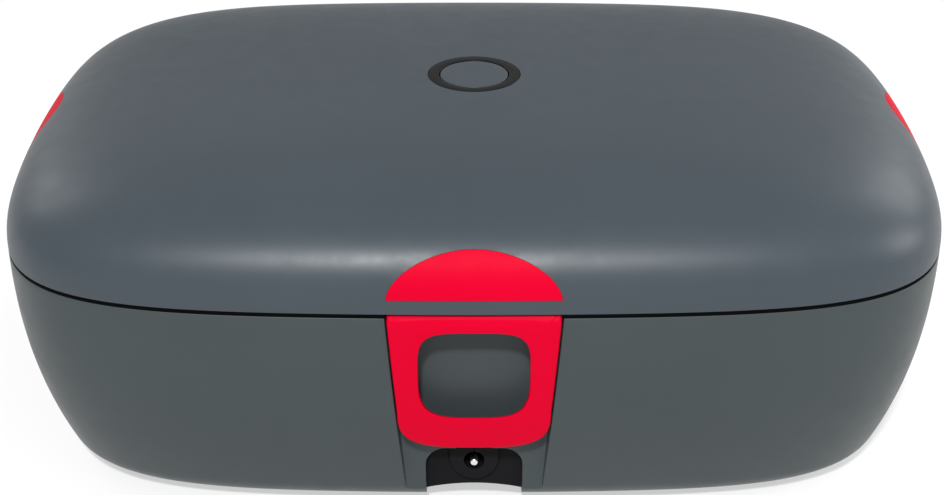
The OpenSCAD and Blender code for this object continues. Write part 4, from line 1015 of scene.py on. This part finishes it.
def tray_rings(wall_length, wall_width, corner, sheet, rim, lean, low_round, bottom, rim_top):
    """Rings of a drawn tray: up its outside, round the rim and down its inside."""
    under_rim = rim_top - sheet
    height = under_rim - bottom

    def ring(up, off, turn):
        pull = lean * (1 - up / height)
        return round_rect(wall_length + 2 * off - 2 * pull - 2 * turn, wall_width + 2 * off - 2 * pull - 2 * turn,
                          corner + off - 0.8 * turn, bottom + up)

    turns = [math.radians(a) for a in range(0, 91, 10)]
    rings = [ring(low_round * (1 - math.cos(a)), 0.0, low_round * (1 - math.sin(a))) for a in turns]
    rings += [ring(height * share, 0.0, 0.0) for share in (0.35, 0.6, 0.85)]
    bend = min(sheet, 0.0008)
    full = [(0.0, under_rim - bend), (bend, under_rim)]
    rings += [round_rect(wall_length + 2 * d, wall_width + 2 * d, corner + d, z) for d, z in full]
    lip = sheet / 2
    for a in range(-90, 91, 30):
        turn = math.radians(a)
        d = rim - lip * (1 - math.cos(turn))
        rings.append(round_rect(wall_length + 2 * d, wall_width + 2 * d, corner + d,
                                rim_top - lip + lip * math.sin(turn)))
    for a in range(90, -1, -30):
        turn = math.radians(a)
        d = -sheet + 2 * bend * (1 - math.cos(turn))
        rings.append(round_rect(wall_length + 2 * d, wall_width + 2 * d, corner + d,
                                rim_top - 2 * bend * (1 - math.sin(turn))))
    rings += [ring(height * share, -sheet, 0.0) for share in (0.85, 0.6, 0.35)]
    inner = low_round - sheet
    rings += [[Vector((p.x, p.y, p.z + sheet)) for p in ring(inner * (1 - math.cos(a)), -sheet, inner * (1 - math.sin(a)))]
              for a in reversed(turns)]
    return rings


class LUNCHBOX_OT_dish(bpy.types.Operator):
    """Lift-out steel dish and the aluminium well under it"""

    bl_idname = "lunchbox.dish"
    bl_label = "Dish and well"

    def execute(self, context):
        dish = context.scene.lunch_dish
        rings = tray_rings(dish.wall_length, dish.wall_width, dish.corner, dish.sheet, dish.rim, dish.lean,
                           dish.low_round, dish.bottom, dish.rim_z + dish.sheet)
        settle(context, ring_piece("dish", rings), "steel_dish", "base", brushed_steel("dish_steel"),
               ["dish"], 50)
        grow = dish.pan_gap + dish.pan_sheet
        rings = tray_rings(dish.wall_length + 2 * grow, dish.wall_width + 2 * grow, dish.corner + dish.pan_gap,
                           dish.pan_sheet, dish.rim + dish.pan_rim - grow, dish.lean, dish.low_round + grow,
                           dish.pan_bottom - dish.pan_sheet, dish.pan_rim_z + dish.pan_sheet)
        settle(context, ring_piece("well", rings), "aluminium_well", "base", cast_metal("well_aluminium"),
               ["heating_pan"], 50)
        return {"FINISHED"}


class LUNCHBOX_OT_cover(bpy.types.Operator):
    """Clear dish cover with its raised middle, and the red seal under its edge"""

    bl_idname = "lunchbox.cover"
    bl_label = "Dish cover"

    def execute(self, context):
        dish = context.scene.lunch_dish
        out_l = dish.wall_length + 2 * dish.rim - 2 * dish.cover_in
        out_w = dish.wall_width + 2 * dish.rim - 2 * dish.cover_in
        out_r = dish.corner + dish.rim - dish.cover_in
        pan_l, pan_w = dish.wall_length - 2 * dish.panel_in, dish.wall_width - 2 * dish.panel_in
        pan_r = dish.corner - dish.panel_in
        sheet, low = dish.cover_sheet, dish.cover_z
        edge = sheet / 2

        def at(size, d, z):
            return round_rect(size[0] + 2 * d, size[1] + 2 * d, size[2] + d, z)

        panel, flange = (pan_l, pan_w, pan_r), (out_l, out_w, out_r)
        rings = [at(panel, -sheet - 0.0015, low + dish.cover_rise), at(panel, -sheet - 0.0004, low + dish.cover_rise - 0.0003),
                 at(panel, -sheet, low + dish.cover_rise - 0.0012), at(panel, -sheet, low + 0.0003),
                 at(panel, -sheet + 0.0003, low)]
        rings += [at(flange, -edge * (1 - math.cos(math.radians(a))), low + edge + edge * math.sin(math.radians(a)))
                  for a in range(-90, 91, 30)]
        rings += [at(panel, 0.0008 * (1 - math.sin(math.radians(a))), low + sheet + 0.0008 * (1 - math.cos(math.radians(a))))
                  for a in (0, 30, 60, 90)]
        top = low + dish.cover_rise + sheet
        rings += [at(panel, -0.0012 * (1 - math.cos(math.radians(a))), top - 0.0012 * (1 - math.sin(math.radians(a))))
                  for a in (0, 30, 60, 90)]
        cover = ring_piece("cover", rings)
        combine(cover, rod("vent", (dish.vent_place, 0, top), "Z", dish.vent, 0.012, 64), "DIFFERENCE")
        settle(context, cover, "clear_dish_cover", "base", frosted_cover("cover_plastic"),
               ["dish_cover"])
        line_l = dish.wall_length + 2 * dish.rim - 2 * dish.seal_in
        line_w = dish.wall_width + 2 * dish.rim - 2 * dish.seal_in
        line_r = dish.corner + dish.rim - dish.seal_in
        seal_z = dish.cover_z - 0.0001 - dish.seal_height
        band = band_rings((line_l, line_w, line_r), dish.seal_width, seal_z, dish.seal_height, 0.0005)
        settle(context, ring_piece("seal", band, closed=True), "silicone_seal", "base", silicone("seal_silicone"),
               ["dish_seal"])
        return {"FINISHED"}


def band_rings(line, width, z, height, edge):
    """Rings round the section of a rubber band that runs along a rounded rectangle."""
    half, section = width / 2, []
    for side_y, side_z, start in ((1, 1, 0), (-1, 1, 90), (-1, -1, 180), (1, -1, 270)):
        for i in range(4):
            turn = math.radians(start + 30 * i)
            section.append((side_y * (half - edge) + edge * math.cos(turn),
                            z + height / 2 + side_z * (height / 2 - edge) + edge * math.sin(turn)))
    return [round_rect(line[0] + 2 * d, line[1] + 2 * d, line[2] + d, up) for d, up in section]


class LUNCHBOX_OT_seam_shade(bpy.types.Operator):
    """Thin black band on the base's rim, put in the seam as painted shade: it shows as the dark line between base and
    lid
    """

    bl_idname = "lunchbox.rim_seal"
    bl_label = "Seam shade band"

    def execute(self, context):
        scene = context.scene
        body, clip = scene.lunch_body, scene.lunch_clip
        low, high = rim_top(body) - 0.0001, body.parting + body.seam / 2 - 0.00025
        section = ((0.00015, low), (0.00015, high - 0.0001), (0.00025, high), (0.0019, high), (0.002, high - 0.0001),
                   (0.002, low))
        # This band is painted shade: its near-black colour darkens the seam between base and lid
        seal = ring_piece("seal", [outline_ring(body, inset, z) for inset, z in section], closed=True)
        for station in stations(body, clip):
            half = channel_half(body, clip, body.parting, station.gap) - 0.0002
            combine(seal, station_block("band_notch", station, half, -0.001, clip.channel, low - 0.001, high + 0.001),
                    "DIFFERENCE")
        # Near-black rubber colour, the painted shade of the seam
        settle(context, seal, "seam_shade_band", "base", rubber("seam_shade_black", (0.002, 0.002, 0.002), 0.02))
        return {"FINISHED"}


class LUNCHBOX_OT_socket(bpy.types.Operator):
    """Power socket: a face across the pocket with a boss round the hole, and the body behind it"""

    bl_idname = "lunchbox.socket"
    bl_label = "Power socket"

    def execute(self, context):
        scene = context.scene
        body, clip, inlet = scene.lunch_body, scene.lunch_clip, scene.lunch_inlet
        back = -body.half_width + clip.channel + inlet.depth - 0.0001
        half = inlet.width / 2 - 0.0001
        # The face's lower edge follows the arch, so its ends reach below the pocket over the lip's ends. The face
        # itself is the socket's own black, but on those ends the black is painted shade.
        line = arch_line(inlet, inlet.arch_top + inlet.lip_thick + 0.0001)
        loop = [(x, z) for x, z in inlet_loop(inlet, -0.0001)[2:]]
        loop += [(max(-half, min(half, x)), z) for x, z in reversed(line)]
        face = ring_piece("face", [[Vector((x, y, z)) for x, z in loop] for y in (back - inlet.face, back)])
        turns = [math.radians(a) for a in range(180, 361, 6)]
        boss = [(inlet.boss * math.cos(a), inlet.hole_z + 0.001 + inlet.boss * math.sin(a)) for a in turns]
        boss += [(inlet.boss, inlet.low + inlet.height - 0.0003), (-inlet.boss, inlet.low + inlet.height - 0.0003)]
        edge = 0.0003
        rings = [[Vector((x * (1 - grow / inlet.boss), y, z)) for x, z in boss]
                 for grow, y in ((edge, back - inlet.boss_out), (0.0, back - inlet.boss_out + edge), (0.0, back - 0.0005))]
        combine(face, ring_piece("boss", rings), "UNION")
        combine(face, block("jack", (-inlet.jack_width / 2, back - 0.001, inlet.jack_low),
                            (inlet.jack_width / 2, back + 0.0125, inlet.jack_low + inlet.jack_height)), "UNION")
        combine(face, rod("hole", (0, back, inlet.hole_z), "Y", inlet.hole, 0.018), "DIFFERENCE")
        combine(face, block("key", (-0.00025, back - 0.01, inlet.hole_z + inlet.hole - 0.0003),
                            (0.00025, back - inlet.boss_out + 0.0006, inlet.hole_z + inlet.hole + 0.0012)), "DIFFERENCE")
        settle(context, face, "socket_moulding", "base", moulded("socket_plastic", scene.lunch_colours.socket, 0.4, 1500, 0.00001, 0.15, specular=0.06),
               ["dc_socket"])
        tip, deep = 0.0005, 0.0125
        ahead = inlet.boss_out + 0.0012
        profile = [(0.00001, -deep), (inlet.pin, -deep)] + arc_points((inlet.pin - tip, ahead - tip), tip, 0, 90, 6)
        pin = spun("pin", profile + [(0.00001, ahead)], 48)
        pin.data.transform(Matrix.Translation((0, back, inlet.hole_z)) @ Matrix.Rotation(math.pi / 2, 4, "X"))
        settle(context, pin, "socket_pin", "base", metal("pin_nickel", (0.78, 0.75, 0.74), 0.3), ["dc_pin"])
        return {"FINISHED"}


class LUNCHBOX_OT_deck(bpy.types.Operator):
    """Moulded deck that closes the base round the well"""

    bl_idname = "lunchbox.deck"
    bl_label = "Deck"

    def execute(self, context):
        scene = context.scene
        body, clip, dish = scene.lunch_body, scene.lunch_clip, scene.lunch_dish
        top, under = dish.deck_z, dish.deck_z - dish.deck_thick
        inset = body.wall + 0.0003
        deck = ring_piece("deck", [outline_ring(body, inset, under), outline_ring(body, inset, top - 0.0004),
                                   outline_ring(body, inset + 0.0001, top - 0.0001),
                                   outline_ring(body, inset + 0.0004, top)])
        gap = dish.pan_gap + dish.pan_sheet + dish.opening_gap
        opening = (dish.wall_length + 2 * gap, dish.wall_width + 2 * gap, dish.corner + dish.pan_gap + dish.pan_sheet)
        collar = [round_rect(opening[0] + 2 * dish.collar, opening[1] + 2 * dish.collar, opening[2] + dish.collar, z)
                  for z in (under - dish.collar_drop, top - 0.001)]
        combine(deck, ring_piece("collar", collar), "UNION")
        combine(deck, ring_piece("well_opening", [
            round_rect(opening[0] + 2 * d, opening[1] + 2 * d, opening[2] + d, z)
            for d, z in ((0, under - dish.collar_drop - 0.001), (0, top - 0.0006), (0.0002, top - 0.0002),
                         (0.0006, top), (0.0016, top + 0.001))]), "DIFFERENCE")
        wall_half = clip.width / 2 + clip.side_gap + body.wall + 0.0003
        for station in stations(body, clip):
            combine(deck, station_block("channel_notch", station, wall_half, -0.001,
                                        clip.channel + body.wall + 0.0003, under - 0.001, top + 0.001), "DIFFERENCE")
        for x in (-1, 1):
            for y in (-1, 1):
                combine(deck, rod("screw_hole", (x * dish.post_place[0], y * dish.post_place[1], top), "Z",
                                  dish.screw_hole, 0.012, 32), "DIFFERENCE")
        settle(context, deck, "well_deck", "base", textured_plastic("deck_plastic", scene.lunch_colours.deck),
               ["inner_deck"])
        return {"FINISHED"}


class LUNCHBOX_OT_liner(bpy.types.Operator):
    """Lid liner with its raised middle, the gasket's channel, and the gasket in it"""

    bl_idname = "lunchbox.liner"
    bl_label = "Lid liner"

    def execute(self, context):
        scene = context.scene
        body, clip, lid, dish = scene.lunch_body, scene.lunch_clip, scene.lunch_lid, scene.lunch_dish
        low, top = lid.liner_z, lid.liner_z + lid.liner_thick
        inset = body.wall + 0.0003
        liner = ring_piece("liner", [outline_ring(body, inset + 0.0003, low), outline_ring(body, inset, low + 0.0003),
                                     outline_ring(body, inset, top)])
        hump = (lid.liner_length, lid.liner_width, lid.liner_corner)
        high = low + lid.liner_rise
        rings = [round_rect(hump[0], hump[1], hump[2], z) for z in (low + 0.0005, high - 0.003)]
        rings += [round_rect(hump[0] - 2 * d, hump[1] - 2 * d, hump[2] - d, high - 0.003 + up)
                  for d, up in ((0.0004, 0.0015), (0.0015, 0.0026), (0.003, 0.003))]
        combine(liner, ring_piece("hump", rings), "UNION")
        line = (lid.gasket_length, lid.gasket_breadth, lid.gasket_corner)
        holder_low = lid.gasket_z + lid.gasket_height + 0.0001
        half = lid.holder / 2
        holder = [round_rect(line[0] + 2 * d, line[1] + 2 * d, line[2] + d, z) for d, z in
                  ((half, low + 0.001), (half, holder_low + 0.0003), (half - 0.0003, holder_low),
                   (-half + 0.0003, holder_low), (-half, holder_low + 0.0003), (-half, low + 0.001))]
        combine(liner, ring_piece("holder", holder, closed=True), "UNION")
        rings = []
        inner_top = high - lid.liner_thick
        size = (hump[0] - 2 * lid.liner_thick, hump[1] - 2 * lid.liner_thick, hump[2] - lid.liner_thick)
        for d, z in ((0.0013, low - 0.001), (0.0008, low), (0.0002, low + 0.0004), (0.0, low + 0.001), (0.0, inner_top - 0.003),
                     (-0.0004, inner_top - 0.0015), (-0.0015, inner_top - 0.0004), (-0.003, inner_top)):
            rings.append(round_rect(size[0] + 2 * d, size[1] + 2 * d, size[2] + d, z))
        combine(liner, ring_piece("liner_room", rings), "DIFFERENCE")
        for station in stations(body, clip):
            combine(liner, station_block("lug_notch", station, clip.width / 2 + 0.0003, -0.001,
                                         clip.channel - 0.001 + 0.0003, low - 0.001, top + 0.001), "DIFFERENCE")
        for x in (-1, 1):
            for y in (-1, 1):
                combine(liner, rod("screw_hole", (x * dish.post_place[0], y * dish.post_place[1], low), "Z",
                                   dish.screw_hole, 0.012, 32), "DIFFERENCE")
        settle(context, liner, "lid_liner_moulding", "lid", textured_plastic("liner_plastic", scene.lunch_colours.deck),
               ["lid_liner"])
        band = band_rings(line, lid.gasket_width, lid.gasket_z, lid.gasket_height, 0.0006)
        settle(context, ring_piece("gasket", band, closed=True), "lid_gasket_band", "lid", rubber("gasket_rubber"),
               ["lid_gasket"])
        return {"FINISHED"}


def new_material(name):
    """A material with its shader, object coordinates and a node builder."""
    material = bpy.data.materials.new(name)
    material.use_nodes = True
    tree = material.node_tree
    shader = tree.nodes["Principled BSDF"]
    coordinates = tree.nodes.new("ShaderNodeTexCoord").outputs["Object"]
    return material, tree, shader, coordinates


def noise(tree, coordinates, scale, detail=3.0, rough=0.5):
    node = tree.nodes.new("ShaderNodeTexNoise")
    node.inputs["Scale"].default_value = scale
    node.inputs["Detail"].default_value = detail
    node.inputs["Roughness"].default_value = rough
    tree.links.new(coordinates, node.inputs["Vector"])
    return node.outputs["Fac"]


def ranged(tree, value, low, high, from_low=0.3, from_high=0.7):
    node = tree.nodes.new("ShaderNodeMapRange")
    for name, number_in in (("From Min", from_low), ("From Max", from_high), ("To Min", low), ("To Max", high)):
        node.inputs[name].default_value = number_in
    tree.links.new(value, node.inputs["Value"])
    return node.outputs["Result"]


def two_tone(tree, value, dark, light, from_low=0.3, from_high=0.7):
    """A ramp between two colours."""
    node = tree.nodes.new("ShaderNodeValToRGB")
    ramp = node.color_ramp
    ramp.elements[0].position, ramp.elements[1].position = from_low, from_high
    ramp.elements[0].color, ramp.elements[1].color = (*dark, 1), (*light, 1)
    tree.links.new(value, node.inputs["Fac"])
    return node.outputs["Color"]


def bumped(tree, shader, height, strength, distance):
    node = tree.nodes.new("ShaderNodeBump")
    node.inputs["Strength"].default_value = strength
    node.inputs["Distance"].default_value = distance
    tree.links.new(height, node.inputs["Height"])
    tree.links.new(node.outputs["Normal"], shader.inputs["Normal"])


def shade(colour_in, share):
    return tuple(max(0.0, min(1.0, c * share)) for c in colour_in)


def moulded(name, tone, rough, grain_scale, grain_depth, mottle=0.05, coat=0.0, specular=0.3):
    """Moulded plastic: fine grain, faint flow marks in colour and gloss."""
    material, tree, shader, coordinates = new_material(name)
    flow = noise(tree, coordinates, 28, 4)
    tree.links.new(two_tone(tree, flow, shade(tone, 1 - mottle), shade(tone, 1 + mottle)), shader.inputs["Base Color"])
    gloss = noise(tree, coordinates, 140, 5, 0.6)
    tree.links.new(ranged(tree, gloss, rough - 0.035, rough + 0.035), shader.inputs["Roughness"])
    bumped(tree, shader, noise(tree, coordinates, grain_scale, 2), 0.35, grain_depth)
    shader.inputs["Specular IOR Level"].default_value = specular
    if coat:
        shader.inputs["Coat Weight"].default_value = coat
        shader.inputs["Coat Roughness"].default_value = 0.12
    return material


def satin_plastic(name, tone):
    return moulded(name, tone, 0.42, 2600, 0.00002, 0.03)


def textured_plastic(name, tone):
    return moulded(name, tone, 0.55, 1500, 0.00006)


def gloss_red(name, tone):
    return moulded(name, tone, 0.5, 2200, 0.00001, 0.02, specular=0.03)


def gloss_black(name, tone):
    return moulded(name, tone, 0.35, 900, 0.000004, 0.2, specular=0.12)


def rubber(name, tone=(0.012, 0.012, 0.013), specular=0.2):
    return moulded(name, tone, 0.72, 1100, 0.00008, 0.12, specular=specular)


def silicone(name, tone=(0.55, 0.008, 0.02)):
    return moulded(name, tone, 0.5, 700, 0.00003, 0.08)


def metal(name, tone, rough, scratch=(1.0, 1.0, 1.0), scratch_scale=900, depth=0.000006):
    """Metal with fine scratches, drawn out along an axis where the scale is small."""
    material, tree, shader, coordinates = new_material(name)
    mapping = tree.nodes.new("ShaderNodeMapping")
    mapping.inputs["Scale"].default_value = scratch
    tree.links.new(coordinates, mapping.inputs["Vector"])
    lines = noise(tree, mapping.outputs["Vector"], scratch_scale, 4, 0.65)
    tree.links.new(two_tone(tree, noise(tree, coordinates, 18, 3), shade(tone, 0.93), shade(tone, 1.05)),
                   shader.inputs["Base Color"])
    tree.links.new(ranged(tree, lines, rough * 0.75, rough * 1.35), shader.inputs["Roughness"])
    bumped(tree, shader, lines, 0.4, depth)
    shader.inputs["Metallic"].default_value = 1.0
    return material


def brushed_steel(name):
    return metal(name, (0.62, 0.62, 0.63), 0.28, (0.04, 1.0, 1.0))


def cast_metal(name):
    return metal(name, (0.55, 0.56, 0.57), 0.42, (1.0, 1.0, 1.0), 1400, 0.00001)


def frosted_cover(name):
    """Clear moulded plastic with a faint milky grain."""
    material, tree, shader, coordinates = new_material(name)
    tree.links.new(two_tone(tree, noise(tree, coordinates, 35, 3), (0.80, 0.83, 0.85), (0.88, 0.90, 0.92)),
                   shader.inputs["Base Color"])
    tree.links.new(ranged(tree, noise(tree, coordinates, 400, 4), 0.10, 0.2), shader.inputs["Roughness"])
    bumped(tree, shader, noise(tree, coordinates, 300, 2), 0.2, 0.00001)
    shader.inputs["Transmission Weight"].default_value = 0.8
    shader.inputs["IOR"].default_value = 1.47
    return material


class LUNCHBOX_OT_finishes(bpy.types.Operator):
    """Finishes of the pieces that keep their CAD shape"""

    bl_idname = "lunchbox.finishes"
    bl_label = "Inner finishes"

    def execute(self, context):
        colours = context.scene.lunch_colours
        black = moulded("sensor_plastic", colours.socket, 0.33, 1500, 0.00001, 0.15)
        steel = metal("screw_steel", (0.55, 0.55, 0.56), 0.3)
        kinds = {
            "cover_screws": steel, "deck_screws": steel, "liner_screws": steel, "board_screws": steel,
            "button_screws": steel, "hinge_pins": steel, "clip_pins": steel,
            "rubber_feet": rubber("foot_rubber"), "bottom_cover": textured_plastic("cover_plastic_dark", colours.deck),
            "heater_foil": moulded("foil_amber", (0.55, 0.22, 0.03), 0.3, 300, 0.00005, 0.2),
            "insulation_pad": moulded("fibre_pad", (0.7, 0.68, 0.62), 0.9, 350, 0.0003, 0.08),
            "thermal_fuse": steel, "pan_sensor": black,
            "battery_tray": textured_plastic("tray_plastic", (0.03, 0.03, 0.032)),
            "battery_cells": moulded("cell_wrap", (0.05, 0.22, 0.45), 0.35, 500, 0.00002, 0.1),
            "cell_straps": metal("strap_nickel", (0.6, 0.58, 0.54), 0.3),
            "protection_board": moulded("board_green", (0.01, 0.14, 0.05), 0.35, 260, 0.0001, 0.3),
            "main_board": moulded("main_board_green", (0.01, 0.14, 0.05), 0.35, 260, 0.0001, 0.3),
            "button_board": moulded("button_board_green", (0.01, 0.14, 0.05), 0.35, 260, 0.0001, 0.3),
            "heater_leads": silicone("lead_red", (0.45, 0.01, 0.01)),
            "battery_leads": rubber("lead_black"),
            "vent_plug": silicone("plug_silicone"),
            "lid_foam": moulded("foam_white", (0.75, 0.74, 0.72), 0.95, 600, 0.0004, 0.05),
            "switch_plunger": moulded("plunger_white", (0.7, 0.7, 0.7), 0.4, 900, 0.00001),
        }
        for node, material in kinds.items():
            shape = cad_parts[node]
            shape.data.materials.clear()
            shape.data.materials.append(material)
        return {"FINISHED"}


class LUNCHBOX_OT_stage(bpy.types.Operator):
    """Pale studio floor, soft lights and the camera"""

    bl_idname = "lunchbox.stage"
    bl_label = "Studio"

    def execute(self, context):
        scene = context.scene
        bm = bmesh.new()
        bmesh.ops.create_grid(bm, x_segments=1, y_segments=1, size=6)
        floor = new_piece("studio_floor", bm)
        material, tree, shader, coordinates = new_material("floor_white")
        tone = scene.lunch_colours.floor
        tree.links.new(two_tone(tree, noise(tree, coordinates, 3), shade(tone, 0.995), shade(tone, 1.0)),
                       shader.inputs["Base Color"])
        shader.inputs["Roughness"].default_value = 0.9
        shader.inputs["Emission Color"].default_value = (1, 1, 1, 1)
        shader.inputs["Emission Strength"].default_value = 0.54
        floor.data.materials.append(material)
        world = bpy.data.worlds.new("studio")
        world.use_nodes = True
        world.node_tree.nodes["Background"].inputs["Color"].default_value = (1, 1, 1, 1)
        world.node_tree.nodes["Background"].inputs["Strength"].default_value = 0.52
        scene.world = world
        scene.view_settings.view_transform = "Standard"
        for name, place, aim, size, power in (
            ("key_light", (-0.08, -1.15, 1.2), (0, 0, 0.05), 0.12, 30),
            ("rear_left_softbox", (-1, 0.9, 0.7), (0, 0, 0.08), 0.5, 2.5),
            ("rear_right_softbox", (1, 0.9, 0.7), (0, 0, 0.08), 0.5, 3.8),
            ("right_softbox", (1.2, 0, 0.5), (0, 0, 0.05), 0.5, 6),
        ):
            data = bpy.data.lights.new(name, "AREA")
            data.size = size
            data.energy = power
            light = bpy.data.objects.new(name, data)
            light.location = place
            light.rotation_euler = (Vector(aim) - Vector(place)).to_track_quat("-Z", "Y").to_euler()
            scene.collection.objects.link(light)
        camera = bpy.data.cameras.new("photo_camera")
        camera.lens = 68.176
        camera.sensor_width = 36
        camera.shift_x = -0.00224
        view = bpy.data.objects.new("photo_camera", camera)
        view.location = (0, -0.48256, 0.29232)
        view.rotation_euler = (math.pi / 2 - 0.48715, 0, 0)
        scene.collection.objects.link(view)
        scene.camera = view
        return {"FINISHED"}


class LUNCHBOX_PT_panel(bpy.types.Panel):
    """Lists the box's pieces and their sizes"""

    bl_idname = "LUNCHBOX_PT_panel"
    bl_label = "Lunch Box"
    bl_space_type = "VIEW_3D"
    bl_region_type = "UI"
    bl_category = "Lunch Box"

    def draw(self, context):
        layout = self.layout
        for piece in PIECES:
            layout.operator(piece.bl_idname)
        for name in GROUPS:
            group = getattr(context.scene, name)
            box = layout.box()
            for field in group.bl_rna.properties.keys():
                if field not in ("rna_type", "name"):
                    box.prop(group, field)


PIECES = (
    LUNCHBOX_OT_stage, LUNCHBOX_OT_finishes, LUNCHBOX_OT_base, LUNCHBOX_OT_lid, LUNCHBOX_OT_inlays,
    LUNCHBOX_OT_clips, LUNCHBOX_OT_button, LUNCHBOX_OT_seam_shade, LUNCHBOX_OT_socket, LUNCHBOX_OT_dish,
    LUNCHBOX_OT_cover, LUNCHBOX_OT_deck, LUNCHBOX_OT_liner,
)
GROUPS = {
    "lunch_body": BodySizes, "lunch_clip": ClipSizes, "lunch_inlet": InletSizes, "lunch_hinge": HingeSizes,
    "lunch_lid": LidSizes, "lunch_dish": DishSizes, "lunch_colours": Colours,
}


def register():
    for group in (*GROUPS.values(), *PIECES, LUNCHBOX_PT_panel):
        bpy.utils.register_class(group)
    for name, group in GROUPS.items():
        setattr(bpy.types.Scene, name, bpy.props.PointerProperty(type=group))


def unregister():
    for name in GROUPS:
        delattr(bpy.types.Scene, name)
    for group in (LUNCHBOX_PT_panel, *reversed(PIECES), *reversed(list(GROUPS.values()))):
        bpy.utils.unregister_class(group)


def main():
    register()
    for piece in PIECES:
        family, name = piece.bl_idname.split(".")
        getattr(getattr(bpy.ops, family), name)()


if __name__ == "__main__":
    main()
